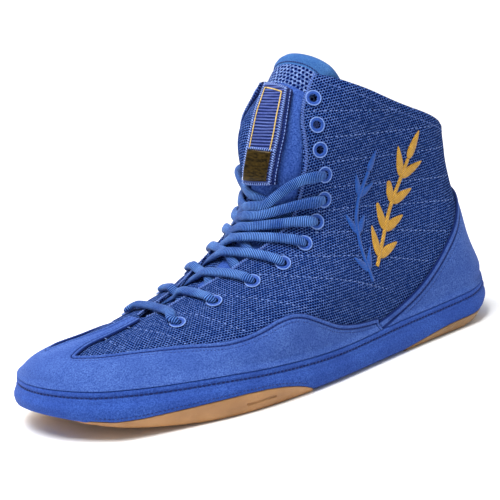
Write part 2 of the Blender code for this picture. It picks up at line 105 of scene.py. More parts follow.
def runAlong(grid, axis):  # length of the way along each row or column of a grid of points
    lengths = np.cumsum(np.linalg.norm(np.diff(grid, axis=axis), axis=2), axis)
    return np.concatenate([np.zeros_like(lengths.take([0], axis)), lengths], axis)


def lineThrough(table):
    points = np.array([row[:2] for row in table], float)
    reach = np.sqrt(np.linalg.norm(np.diff(points, axis=0), axis=1))
    along = np.concatenate([[0], np.cumsum(reach)])
    place = np.linspace(0, len(points) - 1, last["lineSteps"] * (len(points) - 1) + 1)
    at = np.interp(place, np.arange(len(points)), along)
    rows = [(a, p[0], p[1]) for a, p in zip(along, points)]
    return np.stack([smooth(rows, 1, at), smooth(rows, 2, at)], 1), place


frontLine, frontPlace = lineThrough(last["front"])
backLine = lineThrough(last["back"])[0]


def nearest(line, x, z):
    start = line[:-1]
    run = line[1:] - start
    away = []
    place = []
    flat = np.stack([np.ravel(x), np.ravel(z)], 1)
    for q in np.array_split(flat, max(1, len(flat) // 6000)):
        t = np.clip(((q[:, None, :] - start) * run).sum(2) / (run ** 2).sum(1), 0, 1)
        gap = np.linalg.norm(q[:, None, :] - start - t[..., None] * run, axis=2)
        i = gap.argmin(1)
        row = np.arange(len(q))
        away.append(gap[row, i])
        place.append(i + t[row, i])
    shape = np.shape(x)
    return np.concatenate(away).reshape(shape), np.concatenate(place).reshape(shape) / last["lineSteps"]


def rounding(t):
    return np.sqrt(1 - (1 - np.clip(t, 0, 1)) ** last["roundPower"])


def feather(x):
    return smooth(last["foot"], 3, x)


def collar(x):
    return smooth(last["collar"], 1, x)


def centre(x):
    swing = np.clip((x - last["swingStart"]) / last["swingLength"], 0, 1)
    return last["toeSwing"] * swing ** last["swingPower"]


def baseWidth(x, z, side):
    foot = smooth(last["foot"], 1 if side > 0 else 2, x)
    k = step(*last["shaftBlend"], z)
    return foot * (1 - k) + smooth(last["shaft"], 1, z) * k


def frontRound(place):
    return np.interp(place, np.arange(len(last["front"])), [row[2] for row in last["front"]])


def halfWidth(x, z, side):
    ahead, place = nearest(frontLine, x, z)
    behind, _ = nearest(backLine, x, z)
    wide = baseWidth(x, z, side) * rounding(ahead / frontRound(place))
    return wide * rounding(behind / last["heelRound"])


def levelShare(line):
    low = feather(line[:, 0])
    return np.maximum.accumulate((line[:, 1] - low) / (collar(line[:, 0]) - low))


frontShare = levelShare(frontLine)
backShare = levelShare(backLine)


def levelEnds(level):
    held = np.maximum(level, 0)
    return np.interp(held, backShare, backLine[:, 0]), np.interp(held, frontShare, frontLine[:, 0])


def sidePoint(x, z, side):  # the surface of the last at a place of its side view
    x = np.asarray(x, float)
    z = np.asarray(z, float)
    return np.stack([x, centre(x) + side * halfWidth(x, z, side), z], -1)


def sideNormal(x, z, side, reach=2.0):
    along = (sidePoint(x + reach, z, side) - sidePoint(x - reach, z, side))[..., 1] / (2 * reach)
    up = (sidePoint(x, z + reach, side) - sidePoint(x, z - reach, side))[..., 1] / (2 * reach)
    return unit(np.stack([-along, np.ones_like(along), -up], -1) * side)


def lastPoint(turn, level, side):  # turn runs from heel to toe, level from feather to collar
    turn, level = np.broadcast_arrays(np.asarray(turn, float), np.asarray(level, float))
    xBack, xFront = levelEnds(level)
    x = xBack + (xFront - xBack) * (1 - np.cos(math.pi * turn)) / 2
    z = feather(x) + np.maximum(level, 0) * (collar(x) - feather(x))
    wide = np.where((turn <= 0) | (turn >= 1), 0, halfWidth(x, z, side))
    return np.stack([x, centre(x) + side * wide, z], -1)


def lastPlace(x, z):  # turn and level of a place of the side view
    level = (z - feather(x)) / (collar(x) - feather(x))
    xBack, xFront = levelEnds(level)
    return np.arccos(1 - 2 * np.clip((x - xBack) / (xFront - xBack), 0, 1)) / math.pi, level


def placeAt(height):
    return np.interp(height, frontLine[:, 1], frontPlace)


def onFront(place):
    return np.stack([np.interp(place, frontPlace, frontLine[:, k]) for k in (0, 1)], -1)


def frontPoint(place, y, offset=0.0):  # the surface by its place on the front line and its distance across
    place, y, offset = np.broadcast_arrays(*(np.asarray(v, float) for v in (place, y, offset)))
    p = onFront(place)
    along = unit(onFront(place + 0.04) - onFront(place - 0.04))
    out = np.stack([along[..., 1], -along[..., 0]], -1)
    depth = np.zeros(place.shape)
    for _ in range(4):
        q = p - out * depth[..., None]
        wide = np.where(y > 0, baseWidth(q[..., 0], q[..., 1], 1), baseWidth(q[..., 0], q[..., 1], -1))
        share = np.minimum(np.abs(y) / wide, 0.97)
        depth = frontRound(place) * (1 - (1 - share ** 2) ** (1 / last["roundPower"]))
    q = p - out * depth[..., None]
    point = np.stack([q[..., 0], centre(q[..., 0]) + y, q[..., 1]], -1)
    if not np.any(offset):
        return point
    return point + offset[..., None] * frontNormal(place, y)


def frontNormal(place, y, placeReach=0.05, reach=0.5):
    up = frontPoint(place + placeReach, y) - frontPoint(place - placeReach, y)
    across = frontPoint(place, y + reach) - frontPoint(place, y - reach)
    return unit(np.cross(across, up))


def gridFaces(rows, columns, closed=False):
    faces = []
    for i in range(rows - 1):
        for j in range(columns if closed else columns - 1):
            a = i * columns + j
            b = i * columns + (j + 1) % columns
            faces.append((a, b, b + columns, a + columns))
    return faces


def flipped(faces):
    return [tuple(reversed(face)) for face in faces]


def weld(points, faces, tolerance):
    keys = np.floor(points / tolerance + 0.37).astype(np.int64)
    _, first, back = np.unique(keys, axis=0, return_index=True, return_inverse=True)
    back = back.ravel()
    kept = []
    for face in faces:
        ring = list(dict.fromkeys(int(back[v]) for v in face))
        if len(ring) > 2:
            kept.append(tuple(ring))
    return points[first], kept, first


def joinGrids(grids, tolerance=0.002):  # grids of points with the side that each lies on
    points, faces, first = [], [], 0
    for grid, side in grids:
        cells = gridFaces(*grid.shape[:2])
        faces += [tuple(v + first for v in f) for f in (cells if side > 0 else flipped(cells))]
        points.append(grid.reshape(-1, 3))
        first += len(points[-1])
    return weld(np.concatenate(points), faces, tolerance)


def triangles(faces):
    return np.array([(f[0], f[k], f[k + 1]) for f in faces for k in range(1, len(f) - 1)])


def normalsOf(points, faces):
    tri = triangles(faces)
    a, b, c = (points[tri[:, k]] for k in range(3))
    flat = np.cross(b - a, c - a)
    total = np.zeros_like(points)
    for k in range(3):
        np.add.at(total, tri[:, k], flat)
    return unit(total)


def facingOut(points, faces, sides):  # faces and normals that point away from the middle of the shoe
    normals = normalsOf(points, faces)
    if (normals[:, 1] * sides).mean() < 0:
        return flipped(faces), -normals
    return faces, normals


def outwardFaces(points, faces):
    tri = triangles(faces)
    a, b, c = (points[tri[:, k]] for k in range(3))
    volume = (a * np.cross(b, c)).sum()
    return flipped(faces) if volume < 0 else faces


def shell(outer, inner, faces):  # closes an outer and an inner skin along every open edge
    count = len(outer)
    edges = set()
    for face in faces:
        edges.update(zip(face, face[1:] + face[:1]))
    walls = [(b, a, a + count, b + count) for a, b in sorted(edges) if (b, a) not in edges]
    inside = [tuple(v + count for v in reversed(face)) for face in faces]
    return np.concatenate([outer, inner]), list(faces) + inside + walls


dents = [  # middle, reach and shift of each soft push, put on every piece alike
    ((143, -21, 100), (28, 15, 12), (-3.3, 2.6, 0)), ((136, -19, 131), (24, 11, 18), (2.7, -2.2, 0)),
    ((108, -18, 164), (20, 14, 10), (1.8, -1.5, 0)), ((-2, 8, 52), (16, 40, 18), (3.4, 0, 0)),
    ((-6, 8, 20), (14, 40, 11), (-2.2, 0, 0)), ((2, 8, 2), (18, 60, 9), (0.8, 0, 3.4)),
]


def toFrame(points):
    points = np.asarray(points, float)
    moved = points - np.array(last["origin"])
    for middle, reach, shift in dents:
        away = (((points - np.array(middle)) / np.array(reach)) ** 2).sum(-1)
        moved = moved + np.exp(-away)[..., None] * np.array(shift)
    return moved * mm


def addPiece(name, points, faces, materials, uv=None, slots=None):
    mesh = bpy.data.meshes.new(name)
    mesh.from_pydata(toFrame(points).tolist(), [], outwardFaces(np.asarray(points, float), faces))
    for material in materials:
        mesh.materials.append(material)
    if slots is not None:
        mesh.polygons.foreach_set("material_index", np.asarray(slots, np.int32))
    mesh.polygons.foreach_set("use_smooth", np.ones(len(mesh.polygons), bool))
    if uv is not None:
        layer = mesh.uv_layers.new(name="surface")
        corner = np.empty(len(mesh.loops), np.int32)
        mesh.loops.foreach_get("vertex_index", corner)
        layer.data.foreach_set("uv", np.asarray(uv, np.float32)[corner].ravel())
    mesh.validate()
    obj = bpy.data.objects.new(name, mesh)
    bpy.context.scene.collection.objects.link(obj)
    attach(obj, "root")
    return obj


def capFaces(first, count):  # closes a heel-to-toe ring with strips across
    half = count // 2
    faces = [(first, first + 1, first + count - 1)]
    for i in range(1, half - 1):
        faces.append((first + i, first + i + 1, first + count - i - 1, first + count - i))
    faces.append((first + half - 1, first + half, first + half + 1))
    return faces


def loftRings(rings, cap):
    rings = np.asarray(rings, float)
    rows, columns = rings.shape[:2]
    faces = gridFaces(rows, columns, True)
    faces += flipped(cap(0, columns)) + cap((rows - 1) * columns, columns)
    return rings.reshape(-1, 3), faces


def fanFaces(first, count):
    return [tuple(range(first, first + count))]


tubePower = 0.85  # under 1 makes a cord's section a little square


def tube(points, normals, widths, thicks, sides):
    run = unit(np.gradient(points, axis=0))
    across = unit(np.cross(normals, run))
    rise = np.cross(run, across)
    a = 2 * math.pi * (np.arange(sides) + 0.5) / sides
    flat, crown = (np.sign(wave) * np.abs(wave) ** tubePower for wave in (np.cos(a), np.sin(a)))
    rings = points[:, None] + across[:, None] * (flat[None, :, None] * widths[:, None, None] / 2)
    rings = rings + rise[:, None] * (crown[None, :, None] * thicks[:, None, None] / 2)
    return loftRings(rings, fanFaces)


def curveThrough(points, spacing):  # a smooth run through given points, evenly spaced
    points = np.asarray(points, float)
    along = reachAlong(points[:, :3])
    rows = np.column_stack([along, points])
    fine = np.linspace(0, along[-1], max(8, int(along[-1] / spacing * 3)))
    dense = np.stack([smooth(rows, k + 1, fine) for k in range(points.shape[1])], 1)
    reach = reachAlong(dense[:, :3])
    even = np.linspace(0, reach[-1], max(4, int(reach[-1] / spacing)))
    return np.stack([np.interp(even, reach, dense[:, k]) for k in range(points.shape[1])], 1)


# Materials
def newMaterial(name, colour, rough):
    material = bpy.data.materials.new(name)
    material.use_nodes = True
    shader = material.node_tree.nodes["Principled BSDF"]
    setSockets(shader, {"Base Color": (*colour, 1), "Roughness": rough})
    return material, material.node_tree, shader


def setSockets(node, values):
    for label, value in values.items():
        node.inputs[label].default_value = value


def plug(tree, socket, value):
    if isinstance(value, bpy.types.NodeSocket):
        tree.links.new(value, socket)
    else:
        socket.default_value = value


def maths(tree, operation, a, b=0.0, c=0.0):
    node = tree.nodes.new("ShaderNodeMath")
    node.operation = operation
    for socket, value in zip(node.inputs, (a, b, c)):
        plug(tree, socket, value)
    return node.outputs[0]


def mixed(tree, share, first, second):
    node = tree.nodes.new("ShaderNodeMix")
    node.data_type = "RGBA"
    plug(tree, node.inputs[0], share)
    plug(tree, node.inputs[6], first if isinstance(first, bpy.types.NodeSocket) else (*first, 1))
    plug(tree, node.inputs[7], second if isinstance(second, bpy.types.NodeSocket) else (*second, 1))
    return node.outputs[2]


def softStep(tree, value, low, high):
    node = tree.nodes.new("ShaderNodeMapRange")
    node.interpolation_type = "SMOOTHSTEP"
    plug(tree, node.inputs["Value"], value)
    setSockets(node, {"From Min": low, "From Max": high})
    return node.outputs["Result"]


def coordinates(tree, kind):
    return tree.nodes.new("ShaderNodeTexCoord").outputs[kind]


def noise(tree, size, detail=2.0, rough=0.5, stretch=None):  # size of the grain in metres
    node = tree.nodes.new("ShaderNodeTexNoise")
    setSockets(node, {"Scale": 1 / size, "Detail": detail, "Roughness": rough})
    vector = coordinates(tree, "Object")
    if stretch:
        mapping = tree.nodes.new("ShaderNodeMapping")
        mapping.inputs["Scale"].default_value = stretch
        tree.links.new(vector, mapping.inputs["Vector"])
        vector = mapping.outputs["Vector"]
    tree.links.new(vector, node.inputs["Vector"])
    return node.outputs["Fac"]


def bumped(tree, shader, height, depth, strength=1.0):
    node = tree.nodes.new("ShaderNodeBump")
    setSockets(node, {"Strength": strength, "Distance": depth})
    tree.links.new(height, node.inputs["Height"])
    tree.links.new(node.outputs["Normal"], shader.inputs["Normal"])


def surfaceUv(tree):
    split = tree.nodes.new("ShaderNodeSeparateXYZ")
    tree.links.new(coordinates(tree, "UV"), split.inputs[0])
    return split.outputs[0], split.outputs[1]


# A knitted mesh: rows of holes, every other row shifted by half a hole; sizes in millimetres
def holeRows(tree, pitchAcross, pitchUp, holeSmall, holeLarge):
    u, v = surfaceUv(tree)
    row = maths(tree, "DIVIDE", v, pitchUp)
    shift = maths(tree, "MULTIPLY", maths(tree, "PINGPONG", maths(tree, "FLOOR", row), 1.0), 0.5)
    column = maths(tree, "ADD", maths(tree, "DIVIDE", u, pitchAcross), shift)
    across = maths(tree, "SUBTRACT", maths(tree, "FRACT", column), 0.5)
    up = maths(tree, "SUBTRACT", maths(tree, "FRACT", row), 0.5)
    away = maths(tree, "SQRT", maths(tree, "ADD", maths(tree, "MULTIPLY", across, across),
                                     maths(tree, "MULTIPLY", up, up)))
    return softStep(tree, away, holeSmall, holeLarge)


def meshMaterial(name, looks):
    material, tree, shader = newMaterial(name, looks["yarn"], looks["rough"])
    yarn = holeRows(tree, looks["pitchAcross"], looks["pitchUp"], looks["holeSmall"], looks["holeLarge"])
    fleck = softStep(tree, noise(tree, looks["fleckSize"], 1.0), 0.35, 0.7)
    cloud = softStep(tree, noise(tree, 0.02, 2.0), 0.3, 0.7)
    lit = mixed(tree, fleck, looks["yarn"], looks["yarnLight"])
    shaded = mixed(tree, cloud, looks["hole"], looks["holeLight"])
    tree.links.new(mixed(tree, yarn, shaded, lit), shader.inputs["Base Color"])
    setSockets(shader, {"Sheen Weight": looks["sheen"], "Sheen Roughness": 0.5, "Specular IOR Level": 0.03})
    bumped(tree, shader, yarn, looks["depth"], 0.9)
    return material


def suedeMaterial(name, looks, seams=()):  # seams: distance from the edge and half width of each painted shade line on the suede
    material, tree, shader = newMaterial(name, looks["dark"], 0.93)
    nap = noise(tree, looks["napSize"], 3.0, 0.65)
    grain = softStep(tree, nap, 0.3, 0.72)
    brushed = softStep(tree, noise(tree, looks["brushSize"], 3.0, 0.55), 0.32, 0.7)
    body = mixed(tree, brushed, looks["dark"], looks["light"])
    fuzz = mixed(tree, grain, looks["pit"], body)
    # each line darkens the suede at its distance from the edge: painted shade of the gap along the edge and of
    # the stitched groove
    for distance, width in seams:
        away = maths(tree, "ABSOLUTE", maths(tree, "SUBTRACT", surfaceUv(tree)[0], distance))
        fuzz = mixed(tree, softStep(tree, away, width * 0.4, width), looks["edgeGrooveShade"], fuzz)
    tree.links.new(fuzz, shader.inputs["Base Color"])
    setSockets(shader, {"Sheen Weight": looks["sheen"], "Sheen Roughness": 0.45,
                        "Sheen Tint": (*looks["sheenTint"], 1), "Specular IOR Level": 0.05})
    bumped(tree, shader, nap, 0.00045, 0.8)
    return material


def gumMaterial(name, dark, light):
    material, tree, shader = newMaterial(name, light, 0.42)
    cloud = softStep(tree, noise(tree, 0.018, 3.0), 0.3, 0.7)
    speck = softStep(tree, noise(tree, 0.0011, 1.0), 0.62, 0.75)
    body = mixed(tree, cloud, dark, light)
    body = mixed(tree, maths(tree, "MULTIPLY", speck, 0.35), body, dark)
    tree.links.new(body, shader.inputs["Base Color"])
    worn = softStep(tree, noise(tree, 0.006, 3.0), 0.3, 0.75)
    tree.links.new(maths(tree, "MULTIPLY_ADD", worn, 0.22, 0.36), shader.inputs["Roughness"])
    setSockets(shader, {"Subsurface Weight": 0.08, "Subsurface Radius": (0.004, 0.002, 0.001)})
    bumped(tree, shader, noise(tree, 0.0009, 2.0), 0.00008, 0.5)
    return material


# Ribbed cord or tape: ribs across its run, from the second value of its own map, in millimetres
def ribMaterial(name, looks):
    material, tree, shader = newMaterial(name, looks["light"], looks["rough"])
    u, v = surfaceUv(tree)
    slant = maths(tree, "MULTIPLY", maths(tree, "ABSOLUTE", u), looks["slant"])
    run = maths(tree, "ADD", v, slant)
    wave = maths(tree, "SINE", maths(tree, "MULTIPLY", run, 2 * math.pi / looks["pitch"]))
    crest = softStep(tree, wave, -0.7, 0.95)
    fleck = softStep(tree, noise(tree, 0.0007, 2.0), 0.35, 0.7)
    cloud = softStep(tree, noise(tree, 0.012, 2.0), 0.3, 0.7)
    body = mixed(tree, cloud, looks["mid"], looks["light"])
    body = mixed(tree, maths(tree, "MULTIPLY", fleck, 0.3), body, looks["fleck"])
    # the troughs between ribs take the dark colour: painted shade in the troughs
    tree.links.new(mixed(tree, crest, looks["dark"], body), shader.inputs["Base Color"])
    setSockets(shader, {"Sheen Weight": 0.05, "Sheen Roughness": 0.4, "Specular IOR Level": 0.08})
    bumped(tree, shader, maths(tree, "MULTIPLY_ADD", fleck, 0.35, crest), looks["depth"], 0.8)
    return material


def threadMaterial(name, dark, light, rough=0.6, sheen=0.2):
    material, tree, shader = newMaterial(name, light, rough)
    twist = softStep(tree, noise(tree, 0.0006, 2.0, 0.6), 0.3, 0.7)
    tree.links.new(mixed(tree, twist, dark, light), shader.inputs["Base Color"])
    setSockets(shader, {"Sheen Weight": sheen, "Specular IOR Level": 0.15})
    bumped(tree, shader, twist, 0.0001, 0.6)
    return material


# Satin embroidery: fine parallel threads laid at a slant over the side of the shoe
def satinMaterial(name, dark, light, pitch, slope):
    material, tree, shader = newMaterial(name, light, 0.42)
    split = tree.nodes.new("ShaderNodeSeparateXYZ")
    tree.links.new(coordinates(tree, "Object"), split.inputs[0])
    drift = maths(tree, "MULTIPLY", noise(tree, 0.004, 1.0), pitch * 1.5)
    slanted = maths(tree, "MULTIPLY_ADD", split.outputs[0], slope, split.outputs[2])
    across = maths(tree, "ADD", slanted, drift)
    wave = maths(tree, "SINE", maths(tree, "MULTIPLY", across, 2 * math.pi / pitch))
    thread = softStep(tree, wave, -0.9, 0.7)
    cloud = softStep(tree, noise(tree, 0.003, 2.0), 0.3, 0.7)
    body = mixed(tree, maths(tree, "MULTIPLY", cloud, 0.5), light, dark)
    # dark between the laid threads: painted shade; the cloud also darkens the threads at random
    tree.links.new(mixed(tree, thread, dark, body), shader.inputs["Base Color"])
    setSockets(shader, {"Sheen Weight": 0.2, "Specular IOR Level": 0.2, "Anisotropic": 0.4})
    bumped(tree, shader, thread, 0.0002, 0.7)
    return material


def foilMaterial(name, dark, light):
    material, tree, shader = newMaterial(name, light, 0.34)
    brushed = softStep(tree, noise(tree, 0.0012, 3.0, 0.6, (1.0, 0.12, 1.0)), 0.3, 0.7)
    tree.links.new(mixed(tree, brushed, dark, light), shader.inputs["Base Color"])
    tree.links.new(maths(tree, "MULTIPLY_ADD", brushed, 0.16, 0.26), shader.inputs["Roughness"])
    setSockets(shader, {"Metallic": 0.5, "Specular IOR Level": 0.2, "Coat Weight": 0.1, "Coat Roughness": 0.25})
    bumped(tree, shader, brushed, 0.00006, 0.5)
    return material


cloths = {  # colours are linear light
    "mesh": {"yarn": (0.026, 0.076, 0.29), "yarnLight": (0.112, 0.205, 0.55), "hole": (0.0001, 0.0022, 0.036),
             "holeLight": (0.0003, 0.004, 0.055), "pitchAcross": 1.7, "pitchUp": 1.5, "holeSmall": 0.35,
             "holeLarge": 0.5, "fleckSize": 0.0014, "depth": 0.0005, "rough": 0.9, "sheen": 0.0},
    "spacer": {"yarn": (0.034, 0.074, 0.25), "yarnLight": (0.20, 0.30, 0.60), "hole": (0.0003, 0.004, 0.06),
               "holeLight": (0.0008, 0.007, 0.09), "pitchAcross": 2.6, "pitchUp": 2.3, "holeSmall": 0.29,
               "holeLarge": 0.41, "fleckSize": 0.0012, "depth": 0.0011, "rough": 0.85, "sheen": 0.0},
    "lining": {"yarn": (0.02, 0.05, 0.22), "yarnLight": (0.04, 0.085, 0.33), "hole": (0.006, 0.016, 0.09),
               "holeLight": (0.01, 0.025, 0.12), "pitchAcross": 1.6, "pitchUp": 1.6, "holeSmall": 0.15,
               "holeLarge": 0.45, "fleckSize": 0.0015, "depth": 0.0003, "rough": 0.85, "sheen": 0.2},
}
suedes = {
    "overlay": {"dark": (0.056, 0.118, 0.39), "light": (0.088, 0.172, 0.49), "pit": (0.022, 0.056, 0.25),
                # the darkest colour here is painted shade for the edge's gap and the stitched groove
                "edgeGrooveShade": (0.006, 0.018, 0.11), "napSize": 0.0008, "brushSize": 0.02, "sheen": 0.2,
                "sheenTint": (0.4, 0.5, 0.9)},
    "rand": {"dark": (0.036, 0.09, 0.37), "light": (0.05, 0.125, 0.46), "pit": (0.016, 0.046, 0.24),
             "napSize": 0.0008, "brushSize": 0.02, "sheen": 0.18, "sheenTint": (0.4, 0.5, 0.9)},
    "panel": {"dark": (0.044, 0.102, 0.38), "light": (0.068, 0.15, 0.49), "pit": (0.014, 0.042, 0.22),
              "napSize": 0.0009, "brushSize": 0.015, "sheen": 0.04, "sheenTint": (0.4, 0.5, 0.9)},
    "band": {"dark": (0.045, 0.13, 0.35), "light": (0.08, 0.21, 0.47), "pit": (0.022, 0.08, 0.26),
             "napSize": 0.0006, "brushSize": 0.012, "sheen": 0.12, "sheenTint": (0.4, 0.55, 0.9)},
    "footbed": {"dark": (0.02, 0.05, 0.2), "light": (0.03, 0.07, 0.27), "pit": (0.01, 0.03, 0.14),
                "napSize": 0.0008, "brushSize": 0.02, "sheen": 0.2, "sheenTint": (0.35, 0.5, 0.95)},
}
# the dark colours are painted shade for the troughs between ribs
ribs = {
    "lace": {"light": (0.115, 0.285, 0.72), "mid": (0.02, 0.088, 0.36), "dark": (0.002, 0.014, 0.11),
             "fleck": (0.21, 0.37, 0.76), "pitch": 0.95, "slant": 0.25, "depth": 0.0003, "rough": 0.6},
    "webbing": {"light": (0.075, 0.115, 0.35), "mid": (0.046, 0.074, 0.28), "dark": (0.004, 0.011, 0.08),
                "fleck": (0.16, 0.21, 0.48), "pitch": 1.9, "slant": 0.0, "depth": 0.0002, "rough": 0.6},
    "backing": {"light": (0.012, 0.03, 0.17), "mid": (0.008, 0.021, 0.13), "dark": (0.002, 0.007, 0.06),
                "fleck": (0.03, 0.055, 0.24), "pitch": 1.1, "slant": 0.0, "depth": 0.0002, "rough": 0.7},
}
meshCloth = meshMaterial("meshCloth", cloths["mesh"])
spacerMesh = meshMaterial("spacerMesh", cloths["spacer"])
liningCloth = meshMaterial("liningCloth", cloths["lining"])
# painted shade lines: one along the edge's gap, one in the stitched groove 2.4 mm in
overlaySuede = suedeMaterial("overlaySuede", suedes["overlay"], [(0.0, 0.7), (2.4, 0.6)])
randSuede = suedeMaterial("randSuede", suedes["rand"])
panelSuede = suedeMaterial("panelSuede", suedes["panel"])
bandCloth = suedeMaterial("bandCloth", suedes["band"])
footbedCloth = suedeMaterial("footbedCloth", suedes["footbed"])
foreGum = gumMaterial("foreGum", (0.30, 0.14, 0.045), (0.42, 0.21, 0.075))
heelGum = gumMaterial("heelGum", (0.24, 0.12, 0.035), (0.34, 0.18, 0.06))
laceRib = ribMaterial("laceRib", ribs["lace"])
webbingRib = ribMaterial("webbingRib", ribs["webbing"])
backingRib = ribMaterial("backingRib", ribs["backing"])
lightThread = threadMaterial("lightThread", (0.11, 0.20, 0.52), (0.26, 0.38, 0.76))
quiltThread = threadMaterial("quiltThread", (0.085, 0.16, 0.46), (0.21, 0.32, 0.70))
ringThread = threadMaterial("ringThread", (0.09, 0.18, 0.50), (0.20, 0.32, 0.70))
blueThread = threadMaterial("blueThread", (0.04, 0.09, 0.34), (0.10, 0.19, 0.52))
darkThread = threadMaterial("darkThread", (0.006, 0.016, 0.10), (0.016, 0.036, 0.18), 0.75, 0.1)
goldSatin = satinMaterial("goldSatin", (0.30, 0.14, 0.008), (0.68, 0.38, 0.045), 0.0010, 0.55)
blueSatin = satinMaterial("blueSatin", (0.002, 0.042, 0.24), (0.005, 0.095, 0.44), 0.0009, -0.4)
goldFoil = foilMaterial("goldFoil", (0.009, 0.0055, 0.0005), (0.058, 0.034, 0.004))
goldThread = threadMaterial("goldThread", (0.34, 0.22, 0.06), (0.75, 0.55, 0.20), 0.4, 0.1)
eyeletEnamel = threadMaterial("eyeletEnamel", (0.012, 0.045, 0.24), (0.03, 0.09, 0.38), 0.4, 0.0)
print("materials made")


# Stitches and rings that follow a line or sit at points
def newTree(name, *inputs):
    tree = bpy.data.node_groups.new(name, "GeometryNodeTree")
    for label in ("Geometry", *inputs, "Material"):
        kind = label if label in ("Geometry", "Material") else "Int" if label == "Seed" else "Float"
        tree.interface.new_socket(label, in_out="INPUT", socket_type="NodeSocket" + kind)
    tree.interface.new_socket("Geometry", in_out="OUTPUT", socket_type="NodeSocketGeometry")
    return tree, tree.nodes.new("NodeGroupInput").outputs


def treeNode(tree, kind, settings=None, inputs=None):
    node = tree.nodes.new(kind)
    for key, value in (settings or {}).items():
        setattr(node, key, value)
    for key, value in (inputs or {}).items():
        plug(tree, node.inputs[key], value)
    return node


def turnTo(tree, runVector, riseVector):
    first = treeNode(tree, "FunctionNodeAlignRotationToVector", {"axis": "X"}, {"Vector": runVector})
    return treeNode(tree, "FunctionNodeAlignRotationToVector", {"axis": "Z", "pivot_axis": "X"},
                    {"Rotation": first.outputs[0], "Vector": riseVector})


def vectorAttribute(tree, name):
    node = treeNode(tree, "GeometryNodeInputNamedAttribute", {"data_type": "FLOAT_VECTOR"})
    node.inputs["Name"].default_value = name
    return node.outputs["Attribute"]


def endTree(tree, given, points, shape, turned, scale):  # a shape at every point, made a plain painted mesh
    size = treeNode(tree, "ShaderNodeCombineXYZ", None, dict(zip("XYZ", scale)))
    placed = treeNode(tree, "GeometryNodeInstanceOnPoints", None, {
        "Points": points, "Instance": shape.outputs[0],
        "Rotation": turned.outputs[0], "Scale": size.outputs[0]})
    real = treeNode(tree, "GeometryNodeRealizeInstances", None, {"Geometry": placed.outputs[0]})
    shade = treeNode(tree, "GeometryNodeSetShadeSmooth", None, {"Geometry": real.outputs[0]})
    paint = treeNode(tree, "GeometryNodeSetMaterial", None,
                     {"Geometry": shade.outputs[0], "Material": given["Material"]})
    tree.links.new(paint.outputs[0], tree.nodes.new("NodeGroupOutput").inputs[0])
    return tree


def stitchTree():
    tree, given = newTree("stitchRow", "Pitch", "Length", "Width", "Height", "Slant", "Wander", "Seed")
    line = treeNode(tree, "GeometryNodeMeshToCurve", None, {"Mesh": given["Geometry"]})
    even = treeNode(tree, "GeometryNodeResampleCurve", {"mode": "LENGTH"},
                    {"Curve": line.outputs[0], "Length": given["Pitch"]})
    knot = treeNode(tree, "GeometryNodeMeshUVSphere", None, {"Segments": 8, "Rings": 5, "Radius": 0.5})
    along = treeNode(tree, "GeometryNodeInputTangent")
    turned = turnTo(tree, along.outputs[0], vectorAttribute(tree, "rise"))
    stray = treeNode(tree, "FunctionNodeRandomValue", {"data_type": "FLOAT"}, {
        2: maths(tree, "MULTIPLY", given["Wander"], -1.0), 3: given["Wander"], "Seed": given["Seed"]})
    lean = maths(tree, "ADD", given["Slant"], stray.outputs[1])
    spin = treeNode(tree, "FunctionNodeAxisAngleToRotation", None, {"Axis": (0, 0, 1), "Angle": lean})
    final = treeNode(tree, "FunctionNodeRotateRotation", {"rotation_space": "LOCAL"},
                     {"Rotation": turned.outputs[0], "Rotate By": spin.outputs[0]})
    scale = given["Length"], given["Width"], given["Height"]
    return endTree(tree, given, even.outputs[0], knot, final, scale)


def ringTree():
    tree, given = newTree("eyeletRing", "Radius", "Wire", "Flatten")
    hoop, wire = (
        treeNode(tree, "GeometryNodeCurvePrimitiveCircle", None, {"Resolution": count, "Radius": given[label]})
        for count, label in ((28, "Radius"), (8, "Wire")))
    body = treeNode(tree, "GeometryNodeCurveToMesh", None,
                    {"Curve": hoop.outputs[0], "Profile Curve": wire.outputs[0]})
    turned = turnTo(tree, vectorAttribute(tree, "run"), vectorAttribute(tree, "rise"))
    return endTree(tree, given, given["Geometry"], body, turned, (1.0, 1.0, given["Flatten"]))


def leafTree():  # a ball drawn out to a point, its root at the origin
    tree, given = newTree("satinLeaf", "Length", "Width", "Height")
    blank = treeNode(tree, "GeometryNodeMeshUVSphere", None, {"Segments": 20, "Rings": 11, "Radius": 0.5})
    place = treeNode(tree, "GeometryNodeInputPosition")
    split = treeNode(tree, "ShaderNodeSeparateXYZ", None, {0: place.outputs[0]}).outputs
    tip = maths(tree, "MULTIPLY_ADD", split[0], -0.7, 0.75)
    joined = treeNode(tree, "ShaderNodeCombineXYZ", None, {
        "X": maths(tree, "ADD", split[0], 0.5), "Y": maths(tree, "MULTIPLY", split[1], tip), "Z": split[2]})
    leaf = treeNode(tree, "GeometryNodeSetPosition", None,
                    {"Geometry": blank.outputs[0], "Position": joined.outputs[0]})
    turned = turnTo(tree, vectorAttribute(tree, "run"), vectorAttribute(tree, "rise"))
    scale = given["Length"], given["Width"], given["Height"]
    return endTree(tree, given, given["Geometry"], leaf, turned, scale)


stitchNodes = stitchTree()
ringNodes = ringTree()
leafNodes = leafTree()


def grown(name, tree, points, edges, attributes, values):  # runs a tree over points and keeps a plain mesh
    mesh = bpy.data.meshes.new(name)
    mesh.from_pydata(toFrame(points).tolist(), edges, [])
    for label, vectors in attributes.items():
        layer = mesh.attributes.new(label, "FLOAT_VECTOR", "POINT")
        layer.data.foreach_set("vector", np.asarray(vectors, np.float32).ravel())
    obj = bpy.data.objects.new(name, mesh)
    bpy.context.scene.collection.objects.link(obj)
    modifier = obj.modifiers.new(name, "NODES")
    modifier.node_group = tree
    sockets = {item.name: item.identifier for item in tree.interface.items_tree if item.in_out == "INPUT"}
    for label, value in values.items():
        modifier[sockets[label]] = value
    evaluated = obj.evaluated_get(bpy.context.evaluated_depsgraph_get())
    made = bpy.data.meshes.new_from_object(evaluated)
    obj.modifiers.clear()
    obj.data = made
    made.name = name
    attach(obj, "root")
    return obj


